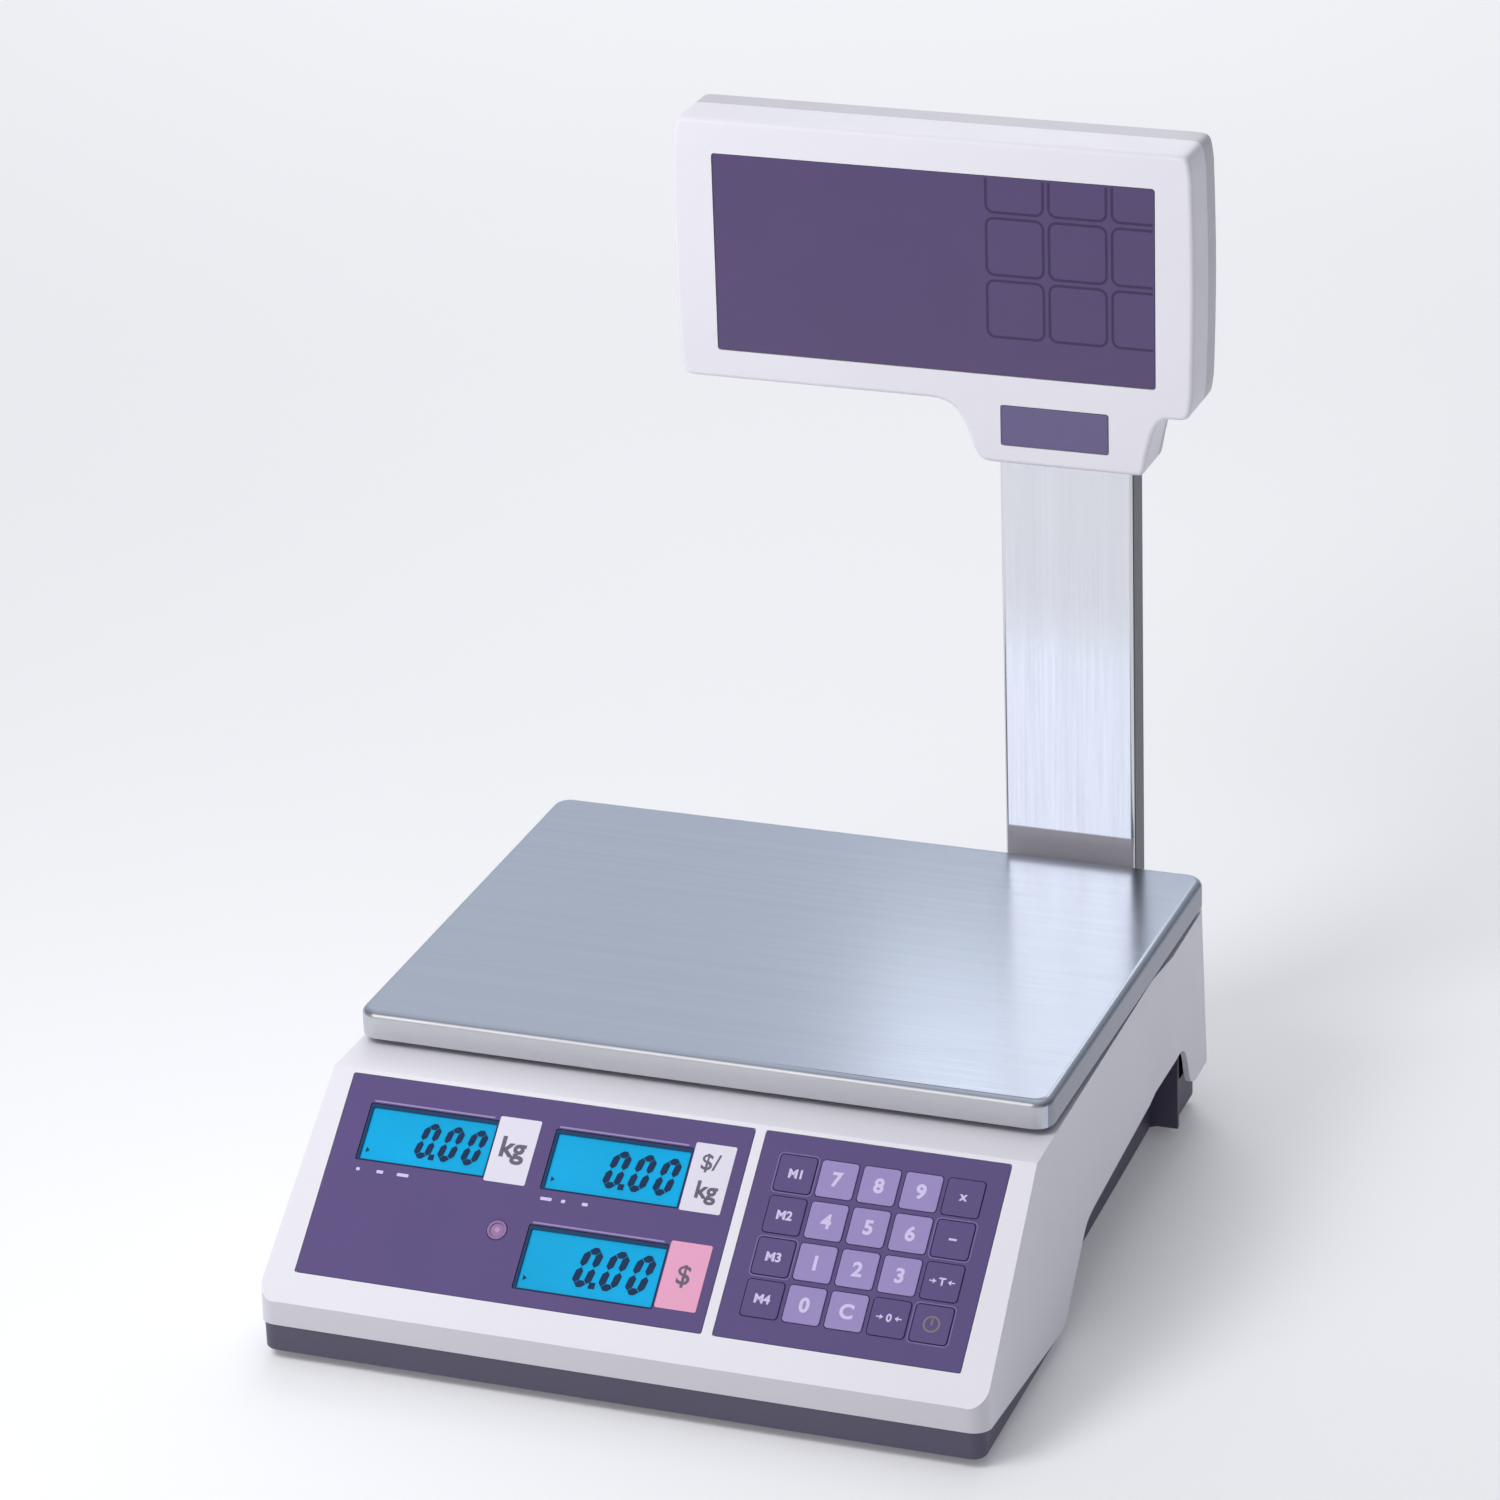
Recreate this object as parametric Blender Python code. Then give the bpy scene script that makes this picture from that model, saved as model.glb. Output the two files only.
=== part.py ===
"""Retail price scale: a weighing base with a sloped operator panel, a stainless platter and a customer
display on a rear pole.

Frame: +X to the operator's right, -Y towards the operator, +Z up; origin on the counter under the middle
of the scale's bounding box. Lengths are in metres. The operator panel has its own local frame, with x
along +X, y up the slope and z out of the panel.
"""

import math

import bmesh
import bpy
from mathutils import Matrix, Vector

GAP = 0.0003                 # clearance kept between two pieces that touch

# Housing and tray
FRONT_Y = -0.1865            # front lip
REAR_Y = 0.1505              # rear wall
TRAY_Z = 0.004               # underside of the tray, above the counter
LIP_LOW_Z = 0.0167           # lower edge of the housing at the front
LIP_TOP_Z = 0.0277           # where the slope meets the lip
DECK_Z = 0.096               # flat top under the platter
SLOPE = math.radians(39.5)   # panel angle from horizontal
WALL = 0.0025                # housing wall
PANEL_WALL = 0.003           # housing wall under the operator panel
HALF_WIDTH = 0.1566          # half width at TAPER_FROM_Y, at lip height
TAPER_FROM_Y = -0.1037
DRAFT_Z = 0.030              # how much the sides lean in with height
DRAFT_Y = 0.020              # how much the sides close in towards the rear
STEP_Y = (0.070, 0.095)      # where the sides ramp out again
STEP_OUT = 0.0025
CORNER_R = 0.008
EDGE_R = 0.0025
BOSS_OPENING = ((-0.018, -0.036), (0.018, -0.002))     # deck opening for the platter's support
SOCKET_OPENING = ((-0.1203, 0.0437), (-0.0917, 0.0643))

# Tray
TRAY_WALL = 0.0028
TRAY_FLOOR = 0.003
TRAY_FRONT_X = (0.157, 0.1555)       # half width at the front and where the hand grips start
TRAY_REAR_X = 0.1475
GRIP_Y = (-0.0790, 0.1085)           # the hand grips, front and rear end
GRIP_X = (0.1435, 0.1385)            # half width of the tray at those ends
GRIP_WALL = 0.0025
GRIP_TOP_Z = 0.0530
FOOT_BOSS_R = 0.007
DOOR = ((-0.1192, -0.0612), (-0.0168, 0.0112))

# Operator panel, in the panel frame: v runs down the slope from the overlays' top edge
OVERLAY_TOP = (-0.1054, 0.0946)      # world y, z of the overlays' top edge
OVERLAY_LENGTH = 0.0908
OVERLAY_T = 0.0008
DISPLAY_X = (-0.1447, 0.0344)
KEYPAD_X = (0.0394, 0.1444)
LCD_BOXES = {                # x from, x to, v from, v to
    "lcd_weight": (-0.1331, -0.0757, 0.0123, 0.0377),
    "lcd_unit_price": (-0.0498, 0.0104, 0.0123, 0.0390),
    "lcd_total": (-0.0498, 0.0111, 0.0554, 0.0835),
}
LEVEL_AT = (-0.0632, 0.0599)
LEVEL_R = 0.0042

# Keys
KEY_W = 0.0158
KEY_H = 0.0160
KEY_PITCH = (0.01796, 0.01842)
KEY_FIRST = (0.0562, 0.0172)         # x, v of the top left key
KEY_PROUD = 0.00035
KEY_T = 0.0015
KEY_NAMES = (
    ("key_m1", "key_7", "key_8", "key_9", "key_multiply"),
    ("key_m2", "key_4", "key_5", "key_6", "key_minus"),
    ("key_m3", "key_1", "key_2", "key_3", "key_tare"),
    ("key_m4", "key_0", "key_clear", "key_zero", "key_power"),
)

# Platter and load path
PAN_W = 0.306
PAN_D = 0.230
PAN_Y = 0.0325
PAN_TOP_Z = 0.112
PAN_SKIRT = 0.0135
PAN_SHEET = 0.0012
PAN_CORNER_R = 0.008
CELL_LENGTH = 0.130
CELL_W = 0.030
CELL_Z = (0.0343, 0.0583)
ARM_Z = (0.0988, 0.1044)
ARM_REACH = (0.112, 0.078)   # from the platter's middle to a pad
PAD_R = 0.008
WEIGH_TRAVEL = 0.0005        # how far the support sinks at full load

# Pole and customer display
POLE_X = 0.088
POLE_W = 0.060
POLE_Y = (0.1555, 0.1715)
POLE_Z = (0.028, 0.400)
POLE_WALL = 0.0015
SCREW_Z = (0.040, 0.084)             # the two screws that hold the pole
HEAD_X = 0.0300
HEAD_HALF_W = 0.1175
HEAD_Z = (0.3215, 0.4395)
HEAD_Y = (0.1495, 0.1720, 0.1865)    # front face, seam, back face
HEAD_WALL = 0.0025
NECK_Z = 0.2945
WINDOW_X = (-0.068, 0.130)
WINDOW_Z = (0.335, 0.424)
BADGE_X = (0.061, 0.109)
BADGE_Z = (0.3033, 0.3213)

# Levelling feet
FOOT_R = 0.011
STUD_R = 0.003
FOOT_AT = ((-0.128, -0.150), (0.128, -0.150), (-0.128, 0.128), (0.128, 0.128))
FOOT_NAMES = ("foot_front_left", "foot_front_right", "foot_rear_left", "foot_rear_right")

# Cable from the base to the customer display
CABLE_R = 0.002
CABLE_HOLE_R = 0.005
CABLE_AT = (0.074, 0.062)      # x, z where it passes through the rear wall

X_AXIS, Y_AXIS, Z_AXIS = Vector((1, 0, 0)), Vector((0, 1, 0)), Vector((0, 0, 1))


# ---------------------------------------------------------------------------------------------- helpers


def clear_scene():
    for obj in list(bpy.data.objects):
        bpy.data.objects.remove(obj, do_unlink=True)


def material(name, color, roughness, metallic=0.0):
    made = bpy.data.materials.get(name)
    if made is None:
        made = bpy.data.materials.new(name)
        made.use_nodes = True
        shader = made.node_tree.nodes["Principled BSDF"]
        shader.inputs["Base Color"].default_value = (*color, 1)
        shader.inputs["Roughness"].default_value = roughness
        shader.inputs["Metallic"].default_value = metallic
    return made


def white_plastic():
    return material("white_plastic", (0.80, 0.79, 0.84), 0.42)


def dark_plastic():
    return material("dark_plastic", (0.085, 0.08, 0.11), 0.5)


def overlay_film():
    return material("overlay_film", (0.14, 0.09, 0.26), 0.35)


def stainless():
    return material("stainless", (0.62, 0.63, 0.66), 0.28, 1.0)


def cast_aluminium():
    return material("cast_aluminium", (0.55, 0.55, 0.56), 0.5, 1.0)


def black_rubber():
    return material("black_rubber", (0.02, 0.02, 0.02), 0.8)


def circuit_board():
    return material("circuit_board", (0.03, 0.16, 0.07), 0.5)


def zinc_steel():
    return material("zinc_steel", (0.5, 0.5, 0.52), 0.35, 1.0)


def mesh_object(name, bm, mat):
    """A new object from a bmesh, with its normals facing out and its round faces shaded smooth."""
    bmesh.ops.recalc_face_normals(bm, faces=bm.faces)
    mesh = bpy.data.meshes.new(name)
    bm.to_mesh(mesh)
    bm.free()
    mesh.shade_smooth()
    mesh.set_sharp_from_angle(angle=math.radians(35))
    if mat:
        mesh.materials.append(mat)
    obj = bpy.data.objects.new(name, mesh)
    bpy.context.scene.collection.objects.link(obj)
    return obj


def prism(name, outline, low, high, axis=Z_AXIS, mat=None):
    """Extrudes a 2-D outline along a world axis. The outline is (x, y), (x, z) or (y, z)."""
    bm = bmesh.new()
    place = {
        0: lambda p: (low, p[0], p[1]),
        1: lambda p: (p[0], low, p[1]),
        2: lambda p: (p[0], p[1], low),
    }[max(range(3), key=lambda i: axis[i])]
    face = bm.faces.new([bm.verts.new(place(p)) for p in outline])
    moved = bmesh.ops.extrude_face_region(bm, geom=[face])
    tips = [item for item in moved["geom"] if isinstance(item, bmesh.types.BMVert)]
    bmesh.ops.translate(bm, verts=tips, vec=axis * (high - low))
    return mesh_object(name, bm, mat)


def box(name, low, high, mat=None):
    outline = [(low[0], low[1]), (high[0], low[1]), (high[0], high[1]), (low[0], high[1])]
    return prism(name, outline, low[2], high[2], Z_AXIS, mat)


def rounded_rect(low, high, radius, steps=4):
    """Corner points of a rounded rectangle between two 2-D corners, anticlockwise."""
    points = []
    corners = ((high[0], high[1], 0), (low[0], high[1], 90), (low[0], low[1], 180), (high[0], low[1], 270))
    for x, y, start in corners:
        cx = x - math.copysign(radius, x - (low[0] + high[0]) / 2)
        cy = y - math.copysign(radius, y - (low[1] + high[1]) / 2)
        for step in range(steps + 1):
            angle = math.radians(start + 90 * step / steps)
            points.append((cx + radius * math.cos(angle), cy + radius * math.sin(angle)))
    return points


def disc(center, radius, steps=24):
    angles = [2 * math.pi * step / steps for step in range(steps)]
    return [(center[0] + radius * math.cos(a), center[1] + radius * math.sin(a)) for a in angles]


def bezier(start, first, second, end, steps=6):
    """Points of a cubic curve after its start."""
    points = []
    for step in range(1, steps + 1):
        t = step / steps
        weights = ((1 - t) ** 3, 3 * t * (1 - t) ** 2, 3 * t * t * (1 - t), t ** 3)
        pairs = list(zip(weights, (start, first, second, end)))
        points.append((sum(w * p[0] for w, p in pairs), sum(w * p[1] for w, p in pairs)))
    return points


def bake(obj):
    """Replaces the object's mesh with its evaluated one and drops the modifiers."""
    graph = bpy.context.evaluated_depsgraph_get()
    mesh = bpy.data.meshes.new_from_object(obj.evaluated_get(graph))
    obj.modifiers.clear()
    obj.data = mesh
    mesh.shade_smooth()
    mesh.set_sharp_from_angle(angle=math.radians(35))


def combine(obj, others, operation):
    for other in others:
        modifier = obj.modifiers.new(operation.lower(), "BOOLEAN")
        modifier.operation = operation
        modifier.object = other
    bpy.context.view_layer.update()
    bake(obj)
    for other in others:
        bpy.data.objects.remove(other, do_unlink=True)
    return obj


def cut(obj, *cutters):
    return combine(obj, cutters, "DIFFERENCE")


def join(obj, *others):
    return combine(obj, others, "UNION")


def bevel_edges(obj, width, segments, keep):
    """Bevels the edges whose end points a, b and face angle satisfy keep(a, b, angle)."""
    bm = bmesh.new()
    bm.from_mesh(obj.data)
    bm.normal_update()
    edges = [
        edge for edge in bm.edges
        if len(edge.link_faces) == 2 and keep(edge.verts[0].co, edge.verts[1].co, edge.calc_face_angle())
    ]
    bmesh.ops.bevel(bm, geom=edges, offset=width, segments=segments, profile=0.5, affect="EDGES",
                    clamp_overlap=True)
    bm.to_mesh(obj.data)
    bm.free()
    obj.data.shade_smooth()
    obj.data.set_sharp_from_angle(angle=math.radians(35))
    return obj


def panel_frame():
    """The operator panel's local frame, at the middle of the overlays' top edge."""
    up = Vector((0, math.cos(SLOPE), math.sin(SLOPE)))
    out = Vector((0, -math.sin(SLOPE), math.cos(SLOPE)))
    matrix = Matrix((X_AXIS, up, out)).transposed().to_4x4()
    matrix.translation = Vector((0, *OVERLAY_TOP))
    return matrix


def on_panel(obj, at=(0, 0)):
    """Places an object made in the panel frame, with its origin at x, v."""
    obj.matrix_world = panel_frame() @ Matrix.Translation((at[0], -at[1], 0))
    return obj


def panel_plate(name, x_range, v_range, z_range, radius=0.001, mat=None):
    outline = rounded_rect((x_range[0], -v_range[1]), (x_range[1], -v_range[0]), radius, 3)
    return on_panel(prism(name, outline, z_range[0], z_range[1], Z_AXIS, mat))


def grown(x_range, v_range, by):
    return (x_range[0] - by, x_range[1] + by), (v_range[0] - by, v_range[1] + by)


# ---------------------------------------------------------------------------------------------- base


def side_half_width(y, z):
    """The housing's half width: drafted sides that ramp out again near the rear."""
    ramp = min(1.0, max(0.0, (y - STEP_Y[0]) / (STEP_Y[1] - STEP_Y[0])))
    return HALF_WIDTH - DRAFT_Z * (z - LIP_TOP_Z) - DRAFT_Y * (y - TAPER_FROM_Y) + STEP_OUT * ramp


def tapered_body(name, profile, inset, mat=None):
    """A solid with the given y-z profile whose two sides follow the housing's sides."""
    solid = prism(name, profile, -1, 1, X_AXIS, mat)
    bm = bmesh.new()
    bm.from_mesh(solid.data)
    for y in STEP_Y:
        everything = bm.verts[:] + bm.edges[:] + bm.faces[:]
        bmesh.ops.bisect_plane(bm, geom=everything, plane_co=(0, y, 0), plane_no=(0, 1, 0))
    for vertex in bm.verts:
        vertex.co.x = math.copysign(side_half_width(vertex.co.y, vertex.co.z) - inset, vertex.co.x)
    bm.to_mesh(solid.data)
    bm.free()
    return solid


def lower_edge():
    """The housing's lower edge in y-z, from front to rear: a lip, a hand grip arch and a rear leg."""
    points = [(FRONT_Y - 0.01, LIP_LOW_Z), (FRONT_Y, LIP_LOW_Z), (-0.1120, 0.0096), (-0.0840, 0.0068)]
    points += bezier((-0.0840, 0.0068), (-0.0770, 0.0058), (-0.0730, 0.0068), (-0.0690, 0.0125), 4)
    points += [(-0.0440, 0.0325)]
    points += bezier((-0.0440, 0.0325), (-0.0395, 0.0362), (-0.0350, 0.0372), (-0.0250, 0.0376), 4)
    points += [(0.0600, 0.0415), (0.0950, 0.0466)]
    points += bezier((0.0950, 0.0466), (0.1060, 0.0480), (0.1110, 0.0440), (0.1130, 0.0350), 5)
    points += bezier((0.1130, 0.0350), (0.1142, 0.0285), (0.1165, 0.0232), (0.1250, 0.0226), 4)
    points += [(REAR_Y + 0.01, 0.0226)]
    return points


def slope_point(v, depth=0.0):
    """World y, z of a point v down the panel and depth below its surface."""
    y = OVERLAY_TOP[0] - v * math.cos(SLOPE) + depth * math.sin(SLOPE)
    z = OVERLAY_TOP[1] - v * math.sin(SLOPE) - depth * math.cos(SLOPE)
    return y, z


def slope_at_z(z, depth=0.0):
    y0, z0 = slope_point(0, depth)
    return y0 + (z - z0) / math.tan(SLOPE), z


def slope_at_y(y, depth=0.0):
    y0, z0 = slope_point(0, depth)
    return y, z0 + (y - y0) * math.tan(SLOPE)


def make_upper_housing():
    outer = [(FRONT_Y, 0.0), slope_at_y(FRONT_Y), slope_at_z(DECK_Z), (REAR_Y, DECK_Z), (REAR_Y, 0.0)]
    inner_front = FRONT_Y + WALL
    inner = [(inner_front, -0.01), slope_at_y(inner_front, PANEL_WALL), slope_at_z(DECK_Z - WALL, PANEL_WALL),
             (REAR_Y - WALL, DECK_Z - WALL), (REAR_Y - WALL, -0.01)]
    housing = tapered_body("upper_housing", outer, 0.0, white_plastic())

    def upright_corner(a, b, angle):
        at_end = max(a.y, b.y) < FRONT_Y + 1e-4 or min(a.y, b.y) > REAR_Y - 1e-4
        return at_end and a.x * b.x > 0.01 and abs(a.z - b.z) > 0.01

    bevel_edges(housing, CORNER_R, 5, upright_corner)
    bevel_edges(housing, EDGE_R, 3, lambda a, b, angle: angle > math.radians(30) and min(a.z, b.z) > 0.02)
    cavity = tapered_body("cavity", inner, WALL)
    below = prism("below", lower_edge() + [(REAR_Y + 0.01, -0.02), (FRONT_Y - 0.01, -0.02)], -0.2, 0.2, X_AXIS)
    cut(housing, cavity)
    cut(housing, below)
    overlay_v = (0.0, OVERLAY_LENGTH)
    pocket, through = (-(OVERLAY_T + GAP), 0.01), (-0.02, 0.005)
    key_x, key_v = grown(KEYPAD_X, overlay_v, -0.0035)
    (inlet_x0, inlet_z0), (inlet_x1, inlet_z1) = SOCKET_OPENING
    openings = [
        panel_plate("pocket_display", *grown(DISPLAY_X, overlay_v, GAP), pocket),
        panel_plate("pocket_keypad", *grown(KEYPAD_X, overlay_v, GAP), pocket),
        panel_plate("key_opening", key_x, key_v, through),
        on_panel(prism("level_opening", disc((0, 0), LEVEL_R + 2 * GAP), *through), LEVEL_AT),
        prism("boss_opening", rounded_rect(*BOSS_OPENING, 0.004), DECK_Z - 0.01, DECK_Z + 0.01),
        box("inlet_opening", (inlet_x0, REAR_Y - 0.01, inlet_z0), (inlet_x1, REAR_Y + 0.01, inlet_z1)),
        prism("cable_opening", disc(CABLE_AT, CABLE_HOLE_R, 16), REAR_Y - 0.01, REAR_Y + 0.01, Y_AXIS),
    ]
    for name, (x0, x1, v0, v1) in LCD_BOXES.items():
        openings.append(panel_plate("opening_" + name, *grown((x0, x1), (v0, v1), 2 * GAP), through))
    return cut(housing, *openings)


def tray_outline(inset):
    """Plan outline of the tray: full width at the front, drawn in along the hand grips."""
    corners = (      # x, y and which way an inset moves y
        (TRAY_FRONT_X[0], FRONT_Y + 0.0005, 1),
        (TRAY_FRONT_X[1], GRIP_Y[0] - 0.0060, -1),
        (GRIP_X[0], GRIP_Y[0], -1),
        (GRIP_X[1], GRIP_Y[1], 1),
        (TRAY_REAR_X, GRIP_Y[1] + 0.0065, 1),
        (TRAY_REAR_X, REAR_Y - 0.0010, -1),
    )
    right = [(x - inset, y + inset * way) for x, y, way in corners]
    return right + [(-x, y) for x, y in reversed(right)]


def grip_pocket(side):
    """The walls and roof that close a hand grip off from the inside, for the left (-1) or right (1) side."""
    slope = (GRIP_X[1] - GRIP_X[0]) / (GRIP_Y[1] - GRIP_Y[0])

    def tray_x(y):
        return GRIP_X[0] + slope * (y - GRIP_Y[0]) - 0.0002

    def housing_x(y):
        return side_half_width(y, GRIP_TOP_Z) - WALL - 2 * GAP

    def placed(points):
        return [(side * x, y) for x, y in points]

    y0, y1 = GRIP_Y[0] - GRIP_WALL, GRIP_Y[1] + GRIP_WALL
    outer_y = (y0, *STEP_Y, y1)
    block = [(housing_x(y), y) for y in outer_y] + [(tray_x(y) - GRIP_WALL, y) for y in (y1, y0)]
    hollow = [(0.2, y) for y in GRIP_Y] + [(tray_x(y), y) for y in reversed(GRIP_Y)]
    pocket = prism("pocket", placed(block), TRAY_Z + 0.001, GRIP_TOP_Z)
    return cut(pocket, prism("pocket_hollow", placed(hollow), 0.0, GRIP_TOP_Z - GRIP_WALL))


def make_base_tray():
    rim_z = 0.0235
    tray = prism("base_tray", tray_outline(0.0), TRAY_Z, rim_z, Z_AXIS, dark_plastic())
    ends = (FRONT_Y + 0.005, REAR_Y - 0.005)
    bevel_edges(tray, 0.006, 4, lambda a, b, angle: abs(a.z - b.z) > 0.01 and not ends[0] < a.y < ends[1])
    edge = [(y, z - GAP) for y, z in lower_edge()]
    above = prism("above", edge + [(REAR_Y + 0.01, 0.08), (FRONT_Y - 0.01, 0.08)], -0.2, 0.2, X_AXIS)
    rim = prism("rim_cavity", tray_outline(TRAY_WALL), TRAY_Z + TRAY_FLOOR, 0.08)
    cut(tray, above, rim)
    join(tray, grip_pocket(-1), grip_pocket(1))
    bosses = [prism("boss", disc(at, FOOT_BOSS_R, 20), TRAY_Z + 0.001, 0.0150) for at in FOOT_AT]
    join(tray, *bosses)
    holes = [prism("hole", disc(at, STUD_R + GAP, 20), 0.0, 0.03) for at in FOOT_AT]
    (door_x0, door_y0), (door_x1, door_y1) = DOOR
    holes.append(box("battery_opening", (door_x0 - GAP, door_y0 - GAP, 0.0),
                     (door_x1 + GAP, door_y1 + GAP, 0.02)))
    return cut(tray, *holes)


def make_battery_door():
    door = prism("battery_door", rounded_rect(*DOOR, 0.0005, 1), TRAY_Z + 0.0003, TRAY_Z + 0.0026, Z_AXIS,
                 dark_plastic())
    rib_x = [-0.078 + 0.006 * index for index in range(4)]
    ribs = [box("rib", (x, -0.057, 0.002), (x + 0.003, -0.049, TRAY_Z + 0.0009)) for x in rib_x]
    return cut(door, *ribs)


def make_feet():
    for name, at in zip(FOOT_NAMES, FOOT_AT):
        foot = prism(name, disc((0, 0), FOOT_R), 0.0, 0.0036, Z_AXIS, black_rubber())
        bevel_edges(foot, 0.0008, 2, lambda a, b, angle: angle > 1.0 and abs(a.z - b.z) < 1e-5)
        join(foot, prism("stud", disc((0, 0), STUD_R, 20), 0.002, 0.0160))
        foot.location = (*at, 0)


# ---------------------------------------------------------------------------------------------- panel


def make_display_panel():
    panel = panel_plate("display_panel", DISPLAY_X, (0, OVERLAY_LENGTH), (-OVERLAY_T, 0), 0.0012,
                        overlay_film())
    cutters = [on_panel(prism("level_hole", disc((0, 0), LEVEL_R + GAP), -0.01, 0.01), LEVEL_AT)]
    for x0, x1, v0, v1 in LCD_BOXES.values():
        cutters.append(panel_plate("lcd_hole", *grown((x0, x1), (v0, v1), GAP), (-0.01, 0.01), 0.0006))
    return cut(panel, *cutters)


def make_keypad_panel():
    panel = panel_plate("keypad_panel", KEYPAD_X, (0, OVERLAY_LENGTH), (-OVERLAY_T, 0), 0.0012, overlay_film())
    cutters = []
    for x, v, _ in key_places():
        half_w, half_h = KEY_W / 2 + GAP, KEY_H / 2 + GAP
        cutters.append(panel_plate("key_hole", (x - half_w, x + half_w), (v - half_h, v + half_h),
                                   (-0.01, 0.01), 0.0018))
    return cut(panel, *cutters)


def key_places():
    """(x, v, name) of each key."""
    for row, names in enumerate(KEY_NAMES):
        for column, name in enumerate(names):
            yield KEY_FIRST[0] + column * KEY_PITCH[0], KEY_FIRST[1] + row * KEY_PITCH[1], name


def make_keys():
    for x, v, name in key_places():
        outline = rounded_rect((-KEY_W / 2, -KEY_H / 2), (KEY_W / 2, KEY_H / 2), 0.0015, 3)
        key = prism(name, outline, KEY_PROUD - KEY_T, KEY_PROUD, Z_AXIS, overlay_film())
        bevel_edges(key, 0.0003, 1, lambda a, b, angle: min(a.z, b.z) > 0 and angle > 1.0)
        on_panel(key, (x, v))


def make_lcds():
    glass = material("lcd_glass", (0.0, 0.36, 0.75), 0.15)
    for name, (x0, x1, v0, v1) in LCD_BOXES.items():
        panel_plate(name, (x0, x1), (v0, v1), (-0.0080, -0.0003), 0.0004, glass)


def make_bubble_level():
    vial = material("level_vial", (0.75, 0.85, 0.55), 0.1)
    level = prism("bubble_level", disc((0, 0), LEVEL_R), -0.0070, -0.0002, Z_AXIS, vial)
    return on_panel(level, LEVEL_AT)


def make_display_board():
    board = panel_plate("display_board", (-0.138, 0.020), (0.006, 0.086), (-0.0105, -0.0089), 0.001,
                        circuit_board())
    header = panel_plate("header", (-0.062, -0.052), (0.070, 0.082), (-0.0165, -0.0100), 0.0003)
    return join(board, header)


def make_key_board():
    board = panel_plate("key_board", (0.0440, 0.1398), (0.0055, 0.0853), (-0.0042, -0.0026), 0.001,
                        circuit_board())
    header = panel_plate("header", (0.050, 0.056), (0.020, 0.060), (-0.0110, -0.0038), 0.0003)
    return join(board, header)


# ---------------------------------------------------------------------------------------------- inside


def make_main_board():
    board = box("main_board", (0.022, -0.098, 0.0130), (0.118, -0.012, 0.0146), circuit_board())
    parts = [
        box("processor", (0.070, -0.065, 0.0140), (0.090, -0.045, 0.0168)),
        box("display_header", (0.034, -0.090, 0.0140), (0.052, -0.083, 0.0220)),
        box("key_header", (0.060, -0.090, 0.0140), (0.084, -0.083, 0.0220)),
        box("heat_sink", (0.092, -0.034, 0.0140), (0.114, -0.028, 0.0320)),
        prism("capacitor_a", disc((0.107, -0.060), 0.0065, 16), 0.0140, 0.0330),
        prism("capacitor_b", disc((0.107, -0.078), 0.0050, 16), 0.0140, 0.0270),
    ]
    return join(board, *parts)


def make_battery():
    case = material("battery_case", (0.10, 0.10, 0.11), 0.5)
    battery = box("battery", (-0.1180, -0.0600, 0.0073), (-0.0180, 0.0100, 0.0543), case)
    tabs = [box("tab", (-0.1240, y, 0.044), (-0.1170, y + 0.0063, 0.0448)) for y in (-0.044, -0.006)]
    return join(battery, *tabs)


def make_transformer():
    core = box("power_transformer", (0.0600, 0.0560, 0.0073), (0.1170, 0.1040, 0.0450),
               material("transformer_core", (0.22, 0.20, 0.19), 0.6, 0.6))
    winding = box("winding", (0.0730, 0.0480, 0.0130), (0.1040, 0.1120, 0.0390))
    return join(core, winding)


def make_power_inlet():
    """A C14 inlet: a flange outside the rear wall, a body inside, a shrouded socket with three blades."""
    inlet = box("power_inlet", (-0.1200, REAR_Y - 0.0250, 0.0440), (-0.0920, REAR_Y + 0.0006, 0.0640),
                material("inlet_plastic", (0.03, 0.03, 0.03), 0.45))
    flange = prism("flange", rounded_rect((-0.1240, 0.0415), (-0.0880, 0.0665), 0.003, 3),
                   REAR_Y + 0.0003, REAR_Y + 0.0028, Y_AXIS)
    join(inlet, flange)
    cut(inlet, box("socket", (-0.1180, REAR_Y - 0.0160, 0.0465), (-0.0940, REAR_Y + 0.0100, 0.0615)))
    blades = [
        box("blade", (x - 0.001, REAR_Y - 0.0180, z - 0.002), (x + 0.001, REAR_Y - 0.0020, z + 0.002))
        for x, z in ((-0.1130, 0.0520), (-0.0990, 0.0520), (-0.1060, 0.0565))
    ]
    return join(inlet, *blades)


# ---------------------------------------------------------------------------------------------- load path


def make_load_cell():
    """A single-point cell: a bar with two joined bores through its middle, fixed at its rear end."""
    y0, y1 = PAN_Y - CELL_LENGTH / 2, PAN_Y + CELL_LENGTH / 2
    cell = box("load_cell", (-CELL_W / 2, y0, CELL_Z[0]), (CELL_W / 2, y1, CELL_Z[1]),
               material("cell_aluminium", (0.66, 0.66, 0.68), 0.35, 1.0))
    mid_z = sum(CELL_Z) / 2
    bores = [prism("bore", disc((PAN_Y + side * 0.017, mid_z), 0.009, 24), -0.03, 0.03, X_AXIS)
             for side in (-1, 1)]
    slot = prism("slot", [(PAN_Y - 0.017, mid_z - 0.003), (PAN_Y + 0.017, mid_z - 0.003),
                          (PAN_Y + 0.017, mid_z + 0.003), (PAN_Y - 0.017, mid_z + 0.003)], -0.03, 0.03, X_AXIS)
    return cut(cell, *bores, slot)


def make_load_cell_mount():
    y1 = PAN_Y + CELL_LENGTH / 2
    return box("load_cell_mount", (-0.0175, y1 - 0.028, TRAY_Z + 0.003 + GAP), (0.0175, y1, CELL_Z[0] - GAP),
               cast_aluminium())


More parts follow.
